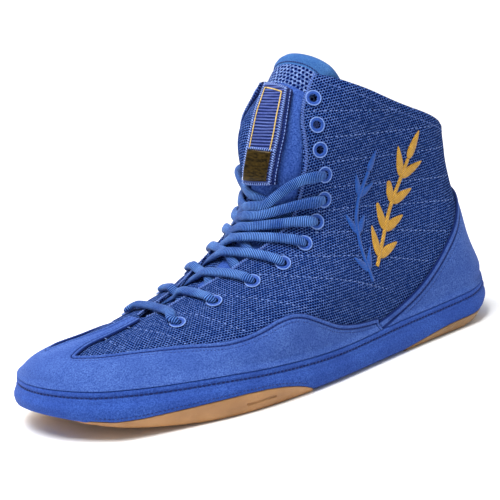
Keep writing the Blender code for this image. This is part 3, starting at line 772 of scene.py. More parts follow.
def stitchRow(name, lines, material, sizes):  # lines are pairs of points and outward directions
    points = np.concatenate([line[0] for line in lines])
    rises = np.concatenate([line[1] for line in lines])
    edges = []
    first = 0
    for line, _ in lines:
        edges += [(first + i, first + i + 1) for i in range(len(line) - 1)]
        first += len(line)
    values = {label: sizes[label.lower()] * mm for label in ("Pitch", "Length", "Width", "Height")}
    values["Slant"] = math.radians(sizes.get("slant", 0.0))
    values["Wander"] = math.radians(sizes.get("wander", 4.0))
    values.update({"Seed": 3, "Material": material})
    return grown(name, stitchNodes, points, edges, {"rise": rises}, values)


# Upper: one hollow wall of mesh cloth with a lining, open at throat, collar and underneath
upper = {
    "rows": 122, "columns": 146, "wall": 2.0, "rim": 1.5, "holeRadius": 2.3,
    "innerDip": 6.0, "quiltDepth": 0.5, "quiltWidth": 1.5, "holeReach": 6.0, "rimRoll": 0.85,
    "collarPuff": 0.5, "puffDrop": 2.6, "puffWidth": 2.0,
    "quilt": [  # x, height of each stitched line, from the throat back
        [(121, 142.8), (101.6, 140), (74.5, 135.4), (50, 131.5)],
        [(115, 127.5), (82.4, 123.7), (45.4, 119.9), (20, 117.5)],
        [(119, 114.2), (91.1, 111.3), (57.5, 107.7), (22, 104.5)],
        [(116, 99.9), (88.6, 96.1), (58, 91.7), (20, 87)],
        [(124.7, 88.1), (102.1, 85.8), (75.4, 81.4), (40, 76), (20, 73)],
        [(132.4, 78.1), (92.7, 71), (64.4, 64.8), (36, 58)],
        [(151.7, 69.7), (114.5, 62), (76.2, 51.6), (55, 45)],
        [(168.2, 62.7), (145.2, 57.4), (115.2, 47.8), (92, 38)],
        [(194.9, 57), (184.7, 54.6), (171.2, 50.3), (158, 44.5)],
        [(215.9, 50.6), (207.9, 49.4), (203.3, 46.1), (196, 40.8)],
        [(237, 46.4), (230.5, 44.6), (225.7, 40), (224, 38)],
        [(252.8, 44.2), (252.2, 43), (251.5, 40.9), (251, 39.8)],
    ],
    "creases": [  # x, height, lean in degrees, length, depth: soft troughs where the ankle and ball bend
        (128, 66, 62, 16, -0.8), (118, 58, 58, 14, 0.5), (104, 76, 70, 12, -0.5), (186, 46, 40, 12, -0.5),
        (70, 60, 40, 16, -0.5), (52, 92, 24, 14, 0.5), (30, 98, 12, 12, -0.5),
    ],
    "creaseWidth": 5.0,
}


def sideCollar(x, side):  # the inner side's front corner lies a little lower
    fall = step(70, 102, x) * (1 - step(118, 150, x)) if side < 0 else 0
    return collar(x) - upper["innerDip"] * fall


def throatEdge(side):
    heights = np.linspace(throatTable[0][0], throatTable[-1][0], 200)
    edge = frontPoint(placeAt(heights), side * smooth(throatTable, 1, heights))
    level = (edge[:, 2] - feather(edge[:, 0])) / (sideCollar(edge[:, 0], side) - feather(edge[:, 0]))
    return np.maximum.accumulate(level), edge[:, 0]


def awayFromLine(line, x, z):
    return nearest(np.asarray(line, float), x, z)[0]


def softRelief(x, z):  # quilted lines sink, listed creases sink or rise
    rise = np.zeros(x.shape)
    for line in upper["quilt"]:
        away = awayFromLine(line, x, z)
        rise = np.minimum(rise, -upper["quiltDepth"] * np.exp(-(away / upper["quiltWidth"]) ** 2))
    for atX, atZ, lean, length, depth in upper["creases"]:
        a = math.radians(lean)
        along = (x - atX) * math.cos(a) + (z - atZ) * math.sin(a)
        across = (z - atZ) * math.cos(a) - (x - atX) * math.sin(a)
        rise = rise + depth * np.exp(-(along / length) ** 2 - (across / upper["creaseWidth"]) ** 2)
    return rise


def upperLevels():
    reach = reachAlong(frontLine)
    levels = np.interp(np.linspace(0, np.interp(1, frontShare, reach), upper["rows"]), reach, frontShare)
    levels[0], levels[-1] = 0, 1
    return levels


def girth(x, z, side):  # length of the cloth from the feather line up to a place
    steps = np.linspace(0, 1, 40) ** 0.8
    low = feather(x)
    heights = low[..., None] + (z - low)[..., None] * steps
    wide = halfWidth(np.broadcast_to(x[..., None], heights.shape), heights, side)
    return np.sqrt(np.diff(heights, axis=-1) ** 2 + np.diff(wide, axis=-1) ** 2).sum(-1)


def upperSide(side, levels):
    edgeLevel, edgeX = throatEdge(side)
    xBack, xFront = levelEnds(levels)
    opened = levels >= edgeLevel[0]
    xEnd = np.where(opened, np.interp(levels, edgeLevel, edgeX), xFront)
    turn = (1 - np.cos(np.linspace(0, math.pi, upper["columns"]))) / 2
    x = xBack[:, None] + (xEnd - xBack)[:, None] * turn
    z = feather(x) + levels[:, None] * (sideCollar(x, side) - feather(x))
    wide = halfWidth(x, z, side)
    wide[:, 0] = 0
    wide[~opened, -1] = 0
    points = np.stack([x, centre(x) + side * wide, z], -1)
    along = runAlong(points, 1)
    toThroat = np.where(opened[:, None], along[:, -1:] - along, farOff)
    toCollar = (1 - levels)[:, None] * (sideCollar(x, side) - feather(x))
    uv = np.stack([along, girth(x, z, side)], -1)
    return points, uv, np.minimum(toThroat, toCollar), toCollar


def buildUpper():
    levels = upperLevels()
    grids, maps, rims, collars, sides = [], [], [], [], []
    for side in (1, -1):
        grid, uv, rim, toCollar = upperSide(side, levels)
        grids.append((grid, side))
        maps.append(uv.reshape(-1, 2))
        rims.append(rim.ravel())
        collars.append(toCollar.ravel())
        sides.append(np.full(rim.size, side))
    points, faces, first = joinGrids(grids)
    uv, rim, toCollar, sides = (np.concatenate(v)[first] for v in (maps, rims, collars, sides))
    faces, normals = facingOut(points, flipped(faces), sides)
    faces = openEyelets(points, faces, sides)
    roll = upper["rimRoll"] * np.clip(1 - rim / upper["rim"], 0, 1) ** 2
    puff = upper["collarPuff"] * np.exp(-((toCollar - upper["puffDrop"]) / upper["puffWidth"]) ** 2)
    rise = softRelief(points[:, 0], points[:, 2]) + puff
    outer = points + normals * (rise - roll)[:, None]
    inner = points - normals * (upper["wall"] - roll)[:, None]
    count = len(faces)
    verts, solid = shell(outer, inner, faces)
    slots = [0] * count + [1] * count + [0] * (len(solid) - 2 * count)
    piece = addPiece("upperCloth", verts, solid, [meshCloth, liningCloth], np.concatenate([uv, uv]), slots)
    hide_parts("upper")
    return piece


def openEyelets(points, faces, sides):  # takes out the cells at each eyelet and rounds the hole's edge
    middle = np.array([points[list(f)].mean(0) for f in faces])
    faceSide = np.array([sides[list(f)].sum() for f in faces])
    gone = np.zeros(len(faces), bool)
    for side in (1, -1):
        for x, z in eyeletTable:
            seat = sidePoint(x, z, side)
            axis = sideNormal(np.array(float(x)), np.array(float(z)), side)
            gap = middle - seat
            flat = gap - (gap @ axis)[:, None] * axis
            near = np.linalg.norm(flat, axis=1) < upper["holeRadius"]
            near &= (np.abs(gap @ axis) < upper["holeReach"]) & (faceSide * side > 0)
            gone |= near
            cut = {v for k in np.flatnonzero(near) for v in faces[k]}
            for v in cut:
                off = points[v] - seat
                off = off - (off @ axis) * axis
                size = np.linalg.norm(off)
                if size > 0.3:
                    points[v] += off / size * (upper["holeRadius"] - size)
    return [f for f, out in zip(faces, gone) if not out]


buildUpper()
print("upper made")

# Suede overlays: a folded edge, then two stitched grooves, then the plain skin
overlay = {
    "gap": 0.3,
    "profile": [  # distance from the edge, height over the cloth
        (0, 0.75), (0.3, 1.4), (0.8, 1.85), (1.5, 1.85), (2.0, 1.4), (2.4, 1.1), (2.8, 1.4), (3.3, 1.75),
        (3.8, 1.75), (4.2, 1.5), (4.4, 1.42), (4.6, 1.5), (5.1, 1.75), (6, 1.8),
    ],
    "flare": 1.7, "flareHeight": 1.7,  # the foot of the suede turns out into a lip
    "lipRise": [  # x, height of the lip over the feather line
        (-8, 7), (0, 5.5), (12, 4.5), (40, 4), (103, 4), (135, 2.8), (170, 2), (245, 2), (275, 2.8), (292, 2.8),
    ],
    "heelSpread": 1.5,  # the heel's seam lies further from its edge
    "rows": 44, "sideColumns": 150, "toeColumns": 64, "stripRows": 44, "heelColumns": 110,
    "seamX": 103.0, "throatX": 229.0, "fanX": 252.0, "ridgeX": 150.0, "stitchAt": (2.4, 4.4),
    "sideCrowd": 0.97, "heelCrowd": 1.8, "tipEase": 14.0, "seamSkip": 6, "heelSkip": 16, "weld": 0.02,
    "toeTop": [  # x, top line height
        (85, 23), (103, 24), (115, 25), (127, 27), (139, 30.8), (146, 34.5), (153, 38.3), (160, 41.5),
        (167, 43), (176, 42.3), (186, 40), (195, 38.2), (205, 37.2), (228, 38.4), (248, 38.9), (262, 39.2),
        (270, 39.4), (276.5, 39.6),
    ],
    "strip": [(229, 5), (248, 6), (262, 8), (270, 10.5), (276.5, 13.5)],  # x, half width of the centre strip
    "heelTop": [(-15, 90), (0, 82), (12, 75), (28, 60), (44, 46), (63, 33.5), (80, 27), (103, 21.8), (110, 21)],
}


def borderGap(points, border):
    gap = np.full(len(points), farOff)
    for chunk in np.array_split(np.asarray(border), max(1, len(border) // 60)):
        gap = np.minimum(gap, np.linalg.norm(points[:, None] - chunk[None], axis=2).min(1))
    return gap


def finePath(points, spacing=0.5):
    reach = reachAlong(points)
    even = np.linspace(0, reach[-1], max(2, int(reach[-1] / spacing)))
    return np.stack([np.interp(even, reach, points[:, k]) for k in range(3)], 1)


def rowShares(count):  # from the edge to the feather, close together at both ends
    return (1 - np.cos(np.linspace(0, math.pi, count))) / 2


def lipRise(x):
    return smooth(overlay["lipRise"], 1, x)


def lipLevel(turn, side):
    x = lastPoint(turn, 0.0, side)[..., 0]
    return lipRise(x) / (collar(x) - feather(x))


def gridBetween(edgeTurn, edgeLevel, baseTurn, side):
    share = rowShares(overlay["rows"])[:, None]
    turn = edgeTurn + (baseTurn - edgeTurn) * share
    return lastPoint(turn, edgeLevel + (lipLevel(baseTurn, side) - edgeLevel) * share, side)


def suedePiece(name, grids, border, node, spread=1.0):
    points, faces, _ = joinGrids(grids, overlay["weld"])
    faces, normals = facingOut(points, faces, np.sign(points[:, 1] - centre(points[:, 0])))
    edge = borderGap(points, border) / spread
    foot = points[:, 2] - feather(points[:, 0]) - lipRise(points[:, 0])
    near = np.exp(-(foot / overlay["flareHeight"]) ** 2)
    out = unit(normals * np.stack([np.ones_like(near), np.ones_like(near), 1 - near], -1))
    rise = straight(overlay["profile"], 1, edge) + overlay["flare"] * near
    verts, solid = shell(points + out * rise[:, None], points + out * overlay["gap"], faces)
    uv = np.stack([edge, foot], -1)
    piece = addPiece(name, verts, solid, [overlaySuede], np.concatenate([uv, uv]))
    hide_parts(node)


def trackInside(columns, border, distance):  # points of each column line at a distance from the edge
    lines = []
    for column in columns:
        gap = borderGap(column, border)
        k = np.flatnonzero((gap[:-1] < distance) & (gap[1:] >= distance))
        if len(k):
            i = k[0]
            t = (distance - gap[i]) / (gap[i + 1] - gap[i])
            lines.append(column[i] + (column[i + 1] - column[i]) * t)
    return np.array(lines)


def lift(points, side, rise):
    normal = sideNormal(points[:, 0], points[:, 2], side)
    return points + normal * rise, normal


def ridgePlace(x):  # place on the front line over the toes
    toes = frontLine[:, 0] > overlay["ridgeX"]
    return np.interp(x, frontLine[toes, 0][::-1], frontPlace[toes][::-1])


def buildToeOverlay():
    stripX = np.linspace(overlay["throatX"], overlay["strip"][-1][0], 400)
    tips = {}
    for side in (1, -1):
        edge = frontPoint(ridgePlace(stripX), side * smooth(overlay["strip"], 1, stripX))
        below = smooth(overlay["toeTop"], 1, edge[:, 0]) - edge[:, 2]
        tips[side] = stripX[np.argmax(below > 0)] if np.any(below > 0) else stripX[-1]
    tipX = min(tips.values())
    across = np.sin(np.linspace(-1, 1, overlay["toeColumns"] + 1) * math.pi / 2)
    xs = np.linspace(tipX, overlay["throatX"], overlay["stripRows"])
    half = smooth(overlay["strip"], 1, xs)
    tower = frontPoint(ridgePlace(xs)[:, None], half[:, None] * across[None, :])
    grids, border = [], []
    baseX = np.linspace(overlay["seamX"], overlay["fanX"], overlay["sideColumns"])
    turnAtBase = lastPlace(baseX, feather(baseX))[0]
    tracks = {}
    for side in (1, -1):
        tip = tower[0, -1 if side > 0 else 0]
        share = np.linspace(0, 1, overlay["sideColumns"]) ** overlay["sideCrowd"]
        topX = overlay["seamX"] + (tip[0] - overlay["seamX"]) * share
        ease = step(tip[0] - overlay["tipEase"], tip[0], topX)
        topZ = smooth(overlay["toeTop"], 1, topX)
        topZ = topZ + (tip[2] - topZ[-1]) * ease
        turn, level = lastPlace(topX, topZ)
        grid = gridBetween(turn, level, turnAtBase, side)
        grid[0, -1] = tip
        stripEdge = tower[:, -1 if side > 0 else 0]
        border += [finePath(line) for line in (grid[0], grid[:, 0], stripEdge)]
        middle = overlay["toeColumns"] // 2
        half0 = tower[0, middle:] if side > 0 else tower[0, middle::-1]
        tipTurn, tipLevel = lastPlace(half0[:, 0], half0[:, 2])
        tipTurn[0] = 1.0
        fan = turnAtBase[-1] + (1 - turnAtBase[-1]) * (1 - np.linspace(0, 1, middle + 1))
        toe = gridBetween(tipTurn, tipLevel, fan, side)
        toe[0] = half0
        grid[:, -1] = toe[:, -1]
        grids += [(grid, side), (toe[:, ::-1], side)]
        tracks[side] = (grid, toe[:, ::-1], tower[:, ::-1] if side > 0 else tower)
    grids.append((tower, 1))
    border = np.concatenate(border)
    suedePiece("toeOverlaySuede", grids, border, "toe_overlay")
    lines = {}
    for distance in overlay["stitchAt"]:
        rise = float(straight(overlay["profile"], 1, distance))
        lines[distance] = []
        for side, (grid, toe, strip) in tracks.items():
            columns = [grid[:, j] for j in range(overlay["seamSkip"], grid.shape[1])]
            columns += [toe[:, j] for j in range(1, toe.shape[1] // 2)]
            path = trackInside(columns, border, distance)
            inner = trackInside(list(strip), border, distance)
            path = np.concatenate([path, inner[2:]])
            lines[distance].append(lift(finePath(path, 1.0), side, rise))
    return lines


def buildHeelOverlay():
    share = np.linspace(0, 1, overlay["heelColumns"]) ** overlay["heelCrowd"]
    seamX = overlay["seamX"] - overlay["gap"]
    over = backLine[:, 1] - smooth(overlay["heelTop"], 1, backLine[:, 0])
    backTop = np.interp(0, over, backLine[:, 0])
    backBase = levelEnds(np.array(0.0))[0]
    grids, border, tracks = [], [], {}
    for side in (1, -1):
        topX = backTop + (seamX - backTop) * share
        baseX = backBase + (seamX - backBase) * share
        turn, level = lastPlace(topX, smooth(overlay["heelTop"], 1, topX))
        turn[0] = 0
        baseTurn = lastPlace(baseX, feather(baseX))[0]
        baseTurn[0] = 0
        grid = gridBetween(turn, level, baseTurn, side)
        grids.append((grid, side))
        border.append(finePath(grid[0]))
        tracks[side] = grid
    border = np.concatenate(border)
    suedePiece("heelOverlaySuede", grids, border, "heel_overlay", overlay["heelSpread"])
    lines = {}
    for distance in overlay["stitchAt"]:
        rise = float(straight(overlay["profile"], 1, distance))
        lines[distance] = []
        for side, grid in tracks.items():
            columns = [grid[:, j] for j in range(1, grid.shape[1] - overlay["heelSkip"])]
            path = trackInside(columns, border, distance * overlay["heelSpread"])
            lines[distance].append(lift(finePath(path, 1.0), side, rise))
    return lines


toeLines = buildToeOverlay()
heelLines = buildHeelOverlay()
overlayStitch = {"pitch": 2.2, "length": 1.7, "width": 0.85, "height": 0.6}
near, far = overlay["stitchAt"]
stitchRow("overlayStitches", toeLines[near] + heelLines[near], darkThread, overlayStitch)
stitchRow("overlayFineStitches", toeLines[far] + heelLines[far], darkThread,
          {"pitch": 1.9, "length": 1.5, "width": 0.5, "height": 0.4})
print("overlays made")

# Sole: a covered rand with a stitched lip, and two gum pads under it
sole = {
    "segments": 190, "gap": 0.3, "toeLift": 12.0, "toeLiftStart": 206.0, "toeLiftLength": 86.0,
    "heelLift": 9.0, "heelLiftStart": 34.0, "waistRise": 1.5,
    "side": [  # share of the height, offset
        (0, 2.6), (0.05, 3.9), (0.12, 4.8), (0.25, 5.6), (0.42, 6.0), (0.6, 5.8), (0.8, 5.0), (1, 4.6),
    ],
    "lip": [  # drop under the lip line, offset
        (0.3, 0.9), (0.0, 1.3), (0.0, 2.2), (0.05, 2.9), (0.3, 3.3), (0.9, 3.65), (1.7, 3.8), (2.4, 3.65),
        (2.9, 3.2), (3.2, 2.9), (3.5, 3.0), (4.0, 3.8), (4.6, 4.4),
    ],
    "lowRows": 14, "stitchDrop": 3.2, "innerDrop": 1.6, "innerOffset": 0.9,
    "foreGum": [  # x, top line height
        (163, 1.2), (165, 2.6), (169, 4.4), (175, 6.4), (184, 8.6), (195, 10.2), (208, 11), (225, 11),
        (245, 10.6), (262, 10.4), (275, 10.6), (284, 11.4),
    ],
    "heelGum": [  # x, top line height
        (6, 6.4), (11, 5.2), (17, 5.4), (26, 5.8), (36, 6), (46, 5.7), (56, 4.8), (66, 3.6), (76, 2.4),
        (84, 1.6),
    ],
    "slotX": 199.0, "slotLength": 19.0, "slotZ": 5.5, "slotHeight": 1.5, "slotDepth": 1.1,
    "slotEnd": 0.8, "slotEdge": 0.45, "gumInset": 0.35, "gumRows": 18, "gumLeast": 0.3,
    "spread": 5.0, "tuck": 0.6, "tuckFrom": 0.86, "lipBlend": 0.4, "closing": 6.0, "stitchOffset": 3.15,
    "lowStitch": (170, 282, 90), "lowStitchRise": 2.2, "lowStitchOut": 0.05, "wallReach": 6.0,
    "stitches": {"pitch": 2.6, "length": 2.1, "width": 1.3, "height": 1.0},
    "lowStitches": {"pitch": 2.2, "length": 1.7, "width": 0.5, "height": 0.5},
}


def lowLine(x):
    toe = sole["toeLift"] * np.clip((x - sole["toeLiftStart"]) / sole["toeLiftLength"], 0, 1.1) ** 2
    heel = sole["heelLift"] * np.clip((sole["heelLiftStart"] - x) / sole["heelLiftStart"], 0, 1.3) ** 2
    return toe + heel


def underLine(x):  # underside of the rand: over the gum pads, up at the waist
    line = lowLine(x)
    for gum in (sole["foreGum"], sole["heelGum"]):
        over = (x >= gum[0][0]) & (x <= gum[-1][0])
        line = np.maximum(line, np.where(over, straight(gum, 1, x) + sole["gap"], 0))
    waist = (x > sole["heelGum"][-1][0]) & (x < sole["foreGum"][0][0])
    return np.maximum(line, np.where(waist, sole["waistRise"], 0))


ringTurn = np.linspace(0, 1, sole["segments"] + 1)


def lastRing(outerLevel, innerLevel):  # once round the last at a level
    return np.concatenate([lastPoint(ringTurn, outerLevel, 1), lastPoint(ringTurn, innerLevel, -1)[-2:0:-1]])


featherRing = lastRing(0.0, 0.0)
ringRun = np.roll(featherRing, -1, axis=0) - np.roll(featherRing, 1, axis=0)
ringOut = unit(np.stack([-ringRun[:, 1], ringRun[:, 0], np.zeros(len(ringRun))], 1))
lipRing = lastRing(lipLevel(ringTurn, 1), lipLevel(ringTurn, -1))


def randRing(drop, offset, under):
    ring = lipRing + ringOut * offset
    ring[:, 2] = np.maximum(lipRing[:, 2] - sole["gap"] - drop, under)
    return ring


def buildRand():
    top = feather(featherRing[:, 0]) - sole["gap"]
    spreadX = (featherRing + ringOut * sole["spread"])[:, 0]
    under = underLine(spreadX)
    low = lowLine(spreadX)
    inner = featherRing + ringOut * sole["innerOffset"]
    inner[:, 2] = top - sole["innerDrop"]
    rings = [inner] + [randRing(drop, offset, under) for drop, offset in sole["lip"]]
    foot = rings[-1]
    for k in range(1, sole["lowRows"] + 1):
        share = k / sole["lowRows"]
        z = foot[:, 2] * (1 - share) + under * share
        offset = straight(sole["side"], 1, (z - low) / (top - low))
        tuck = sole["tuck"] * max(0, share - sole["tuckFrom"]) / (1 - sole["tuckFrom"])
        ring = featherRing + ringOut * (offset - tuck)[:, None]
        ring = foot + (ring - foot) * float(step(0, sole["lipBlend"], share))
        ring[:, 2] = z
        rings.append(ring)
    closing = rings[-1] - ringOut * sole["closing"]
    closing[:, 2] = under
    rings.append(closing)
    points, faces = loftRings(rings, capFaces)
    piece = addPiece("randSuedeCover", points, faces, [randSuede])
    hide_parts("sole")
    groove = randRing(sole["stitchDrop"], sole["stitchOffset"], under)
    closed, outs = (np.concatenate([ring, ring[:1]]) for ring in (groove, ringOut))
    stitchRow("randStitches", [(closed, outs)], darkThread, sole["stitches"])
    lines = []
    for side in (1, -1):
        xs = np.linspace(*sole["lowStitch"])
        z = straight(sole["foreGum"], 1, xs) + sole["lowStitchRise"]
        y = wallY(xs, z, side) + side * sole["lowStitchOut"]
        out = np.zeros((len(xs), 3))
        out[:, 1] = side
        lines.append((np.stack([xs, y, z], 1), out))
    stitchRow("randLowStitches", lines, darkThread, sole["lowStitches"])


def wallY(x, z, side):  # the sole's side at a place of the side view
    low = lowLine(x)
    top = feather(x) - sole["gap"]
    offset = straight(sole["side"], 1, (z - low) / (top - low))
    count = sole["segments"] + 1
    ring, out = (line[:count] if side > 0 else np.concatenate([line[:1], line[:count - 2:-1]])
                 for line in (featherRing, ringOut))
    ys = []
    for reach in (0.0, sole["wallReach"]):
        edge = ring + out * reach
        order = np.argsort(edge[:, 0])
        ys.append(np.interp(x, edge[order, 0], edge[order, 1]))
    return ys[0] + (ys[1] - ys[0]) * offset / sole["wallReach"]


def buildGum(name, node, table, material, columns, slotted):
    xs = np.linspace(table[0][0], table[-1][0], columns)
    if slotted:
        fine = np.linspace(-1.2, 1.2, 9)  # close columns at both ends of the slot
        ends = [sole["slotX"] + s * sole["slotLength"] / 2 + fine for s in (-1, 1)]
        xs = np.unique(np.concatenate([xs, *ends]))
    low = lowLine(xs)
    top = straight(table, 1, xs)
    shares = np.linspace(0, 1, sole["gumRows"])
    sides = {}
    for side in (1, -1):
        z = low[:, None] + (np.maximum(top, low + sole["gumLeast"]) - low)[:, None] * shares
        x = np.broadcast_to(xs[:, None], z.shape)
        y = wallY(x, z, side) - side * sole["gumInset"]
        if slotted and side > 0:
            inX = step(0, sole["slotEnd"], sole["slotLength"] / 2 - np.abs(x - sole["slotX"]))
            inZ = step(0, sole["slotEdge"], sole["slotHeight"] / 2 - np.abs(z - sole["slotZ"]))
            y = y - sole["slotDepth"] * inX * inZ
        sides[side] = np.stack([x, y, z], -1)
    points, faces = loftRings(np.concatenate([sides[1], sides[-1][:, ::-1]], 1), sectionCap)
    piece = addPiece(name, points, faces, [material])
    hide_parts(node)


def sectionCap(first, count):
    half = count // 2
    return [(first + i, first + i + 1, first + count - 2 - i, first + count - 1 - i) for i in range(half - 1)]


buildRand()
buildGum("foreGumPad", "outsole_forefoot", sole["foreGum"], foreGum, 120, True)
buildGum("heelGumPad", "outsole_heel", sole["heelGum"], heelGum, 70, False)
print("sole made")

# Footbed inside the upper
footbed = {"rings": [(0.0, 2.35), (0.022, 2.35), (0.03, 3.15)]}  # level, inset


def buildFootbed():
    rings = [lastRing(level, level) - ringOut * inset for level, inset in footbed["rings"]]
    points, faces = loftRings(rings, capFaces)
    piece = addPiece("footbedCover", points, faces, [footbedCloth])
    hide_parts("insole")


buildFootbed()


# Tongue: padded spacer mesh with a smooth band along its top and a plain panel down its middle
tongue = {
    "rows": 96, "columns": 56, "inset": 3.5, "thick": 3.6, "bottom": 47.2, "top": 174.0, "topDrop": 5.0,
    "half": [  # height, half width
        (47.2, 9), (56, 15), (66, 21), (80, 26.4), (100, 29.5), (128, 30), (142, 28.8), (151, 27.5),
        (175, 27.3),
    ],
    "edgeRound": 1.3, "edgeReach": (3, 5), "crowd": 0.9, "spacerLow": 157.0,
    "band": 4.2, "bandPuff": 1.0, "bandMiddle": 0.45, "bandSpread": 0.38, "bandGroove": 0.7, "grooveWidth": 0.9,
    "outerWing": 4.6, "wingFrom": (152.0, 164.0),  # the outer edge is wider near the top
    "wingSink": 6.5, "sinkFrom": (153.0, 162.0), "sinkShare": 0.68,  # and lies deeper under the quarter
    # the stitches under the band are close and dark, so they also paint the groove's shade as a dark line
    "bandStitch": {"pitch": 1.6, "length": 1.5, "width": 0.8, "height": 0.5},
    "stitchHalf": 25.0, "bandHalf": 27.5,
    "panelMargin": 1.5, "panelMedial": -1.0, "panelLateral": 26.5, "panelToThroat": -0.6,
    "panelLow": 60.0, "panelHigh": 160.0, "panelThick": 0.5, "panelGap": 0.05, "panelRound": 0.3,
    "panelRows": 60, "panelColumns": 40,
}


def frontSheet(heights, shares, edgesAt, drop=0.0):  # places and distances across for a patch on the front
    top = heights[-1] - drop * np.abs(shares) ** 4
    span = (heights - heights[0]) / (heights[-1] - heights[0])
    height = heights[0] + (top - heights[0])[None, :] * span[:, None]
    low, high = edgesAt(height)
    return placeAt(height), low + (high - low) * (0.5 + 0.5 * shares[None, :]), height


def patchPiece(name, place, across, outer, inner, materials, slots=None):
    skin = frontPoint(place, across, outer)
    back = frontPoint(place, across, inner)
    rows, columns = place.shape
    aside = runAlong(skin, 1)
    uv = np.stack([aside - aside[:, columns // 2, None], runAlong(skin, 0)], -1).reshape(-1, 2)
    faces = gridFaces(rows, columns)
    normals = normalsOf(skin.reshape(-1, 3), faces)
    if (normals * frontNormal(place, across).reshape(-1, 3)).sum() < 0:
        faces = flipped(faces)
    verts, solid = shell(skin.reshape(-1, 3), back.reshape(-1, 3), faces)
    if slots is not None:
        slots = list(slots) * 2 + [slots[0]] * (len(solid) - 2 * len(slots))
    return addPiece(name, verts, solid, materials, np.concatenate([uv, uv]), slots)


def edgeFall(rows, columns, reach):  # 1 at the edge of a patch, 0 inside
    across = np.minimum(np.arange(columns), np.arange(columns)[::-1])
    up = np.minimum(np.arange(rows), np.arange(rows)[::-1])
    near = np.minimum(up[:, None] / reach[0], across[None, :] / reach[1])
    return np.clip(1 - near, 0, 1) ** 2


def tongueEdges(height):
    half = smooth(tongue["half"], 1, height)
    return -half, half + tongue["outerWing"] * step(*tongue["wingFrom"], height)


def panelEdges(height):
    half = smooth(tongue["half"], 1, height) - tongue["panelMargin"]
    nearThroat = smooth(throatTable, 1, height) - tongue["panelToThroat"]
    outer = np.minimum(np.minimum(tongue["panelLateral"], half), nearThroat)
    return -np.minimum(tongue["panelMedial"], half), outer


def buildTongue():
    heights = np.linspace(tongue["bottom"], tongue["top"], tongue["rows"])
    turn = math.pi / 2 * tongue["crowd"]
    shares = np.sin(np.linspace(-1, 1, tongue["columns"]) * turn) / math.sin(turn)
    place, across, height = frontSheet(heights, shares, tongueEdges, tongue["topDrop"])
    fromTop = height[-1:] - height
    fall = edgeFall(tongue["rows"], tongue["columns"], tongue["edgeReach"])
    bandShare = fromTop / tongue["band"]
    band = tongue["bandPuff"] * np.exp(-((bandShare - tongue["bandMiddle"]) / tongue["bandSpread"]) ** 2)
    groove = -tongue["bandGroove"] * np.exp(-((fromTop - tongue["band"]) / tongue["grooveWidth"]) ** 2)
    sink = step(tongue["sinkShare"], 1.0, shares)[None, :] * step(*tongue["sinkFrom"], height)
    seat = -tongue["inset"] - tongue["wingSink"] * sink
    outer = seat + band + groove - tongue["edgeRound"] * fall
    inner = seat - tongue["thick"] - band + tongue["edgeRound"] * fall
    zone = np.where(fromTop < tongue["band"], 1, np.where(height > tongue["spacerLow"], 0, 2))[1:, 1:]
    piece = patchPiece("tonguePad", place, across, outer, inner, [spacerMesh, bandCloth, meshCloth],
                       zone.ravel().tolist())
    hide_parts("tongue")
    # real stitching under the band, in dark thread laid close so that it also paints the groove's shade
    y = np.linspace(-tongue["stitchHalf"], tongue["stitchHalf"], 90)
    at = placeAt(tongue["top"] - tongue["topDrop"] * np.abs(y / tongue["bandHalf"]) ** 4 - tongue["band"])
    line = frontPoint(at, y, -tongue["inset"] - 0.1), frontNormal(at, y)
    stitchRow("tongueBandStitchesAndShade", [line], darkThread, tongue["bandStitch"])


def buildPanel():
    heights = np.linspace(tongue["panelLow"], tongue["panelHigh"], tongue["panelRows"])
    place, across, _ = frontSheet(heights, np.linspace(-1, 1, tongue["panelColumns"]), panelEdges)
    fall = edgeFall(*place.shape, (1.5, 1.5))
    outer = -tongue["inset"] + tongue["panelThick"] - tongue["panelRound"] * fall
    patchPiece("tonguePanel", place, across, outer, tongue["panelGap"] - tongue["inset"], [panelSuede])


# Lace garter: ribbed webbing on a dark backing, a gold line inside its stitched edge, a plain plate below
garter = {
    "low": 106.0, "high": 158.0, "seat": -2.9, "top": 1.8, "backTop": 0.2, "ribPitch": 1.9, "ribDepth": 0.4,
    "edges": [  # height, inner edge, outer edge of the webbing
        (106, -1.5, 16), (122, 1, 17.3), (140, 1.6, 17.8), (150, -0.2, 16), (158, -3.5, 12.4),
    ],
    "backMargin": (1.2, 2.0), "lineLow": 126.4, "lineHigh": 155.0, "lineShare": 0.66,
    "plateLow": 108.5, "plateHigh": 125.0, "plateShare": 0.76, "plateThick": 0.6, "gap": 0.3,
    "backRows": 34, "columns": 26, "rowsPerRib": 6, "plateRows": 26, "plateColumns": 30,
    "ribMargin": 0.12, "crown": 0.35, "edgeRound": 0.8, "seamInset": 0.9, "seamShare": 0.89, "ledgeShare": 0.85,
    "edgeStitch": {"pitch": 1.25, "length": 1.9, "width": 0.7, "height": 0.5, "slant": 68.0},
    "backStitch": {"pitch": 1.9, "length": 1.7, "width": 0.5, "height": 0.4},
    "goldStitch": {"pitch": 0.62, "length": 1.0, "width": 0.85, "height": 0.5, "wander": 8.0},
}


def webbingEdges(height):
    return smooth(garter["edges"], 1, height), smooth(garter["edges"], 2, height)


def backingEdges(height):
    low, high = webbingEdges(height)
    return low - garter["backMargin"][0], high + garter["backMargin"][1]


def plateEdges(height):
    low, high = webbingEdges(height)
    inset = (1 - garter["plateShare"]) / 2 * (high - low)
    return low + inset, high - inset


def garterLine(corners, rise):  # a line through corners on the band: height, share of the half width
    corners = np.array(corners, float)
    fine = np.concatenate([np.linspace(corners[k], corners[k + 1], 20)[:-1] for k in range(len(corners) - 1)]
                          + [corners[-1:]])
    low, high = webbingEdges(fine[:, 0])
    at, y = placeAt(fine[:, 0]), low + (high - low) * (0.5 + 0.5 * fine[:, 1])
    return frontPoint(at, y, rise), frontNormal(at, y)


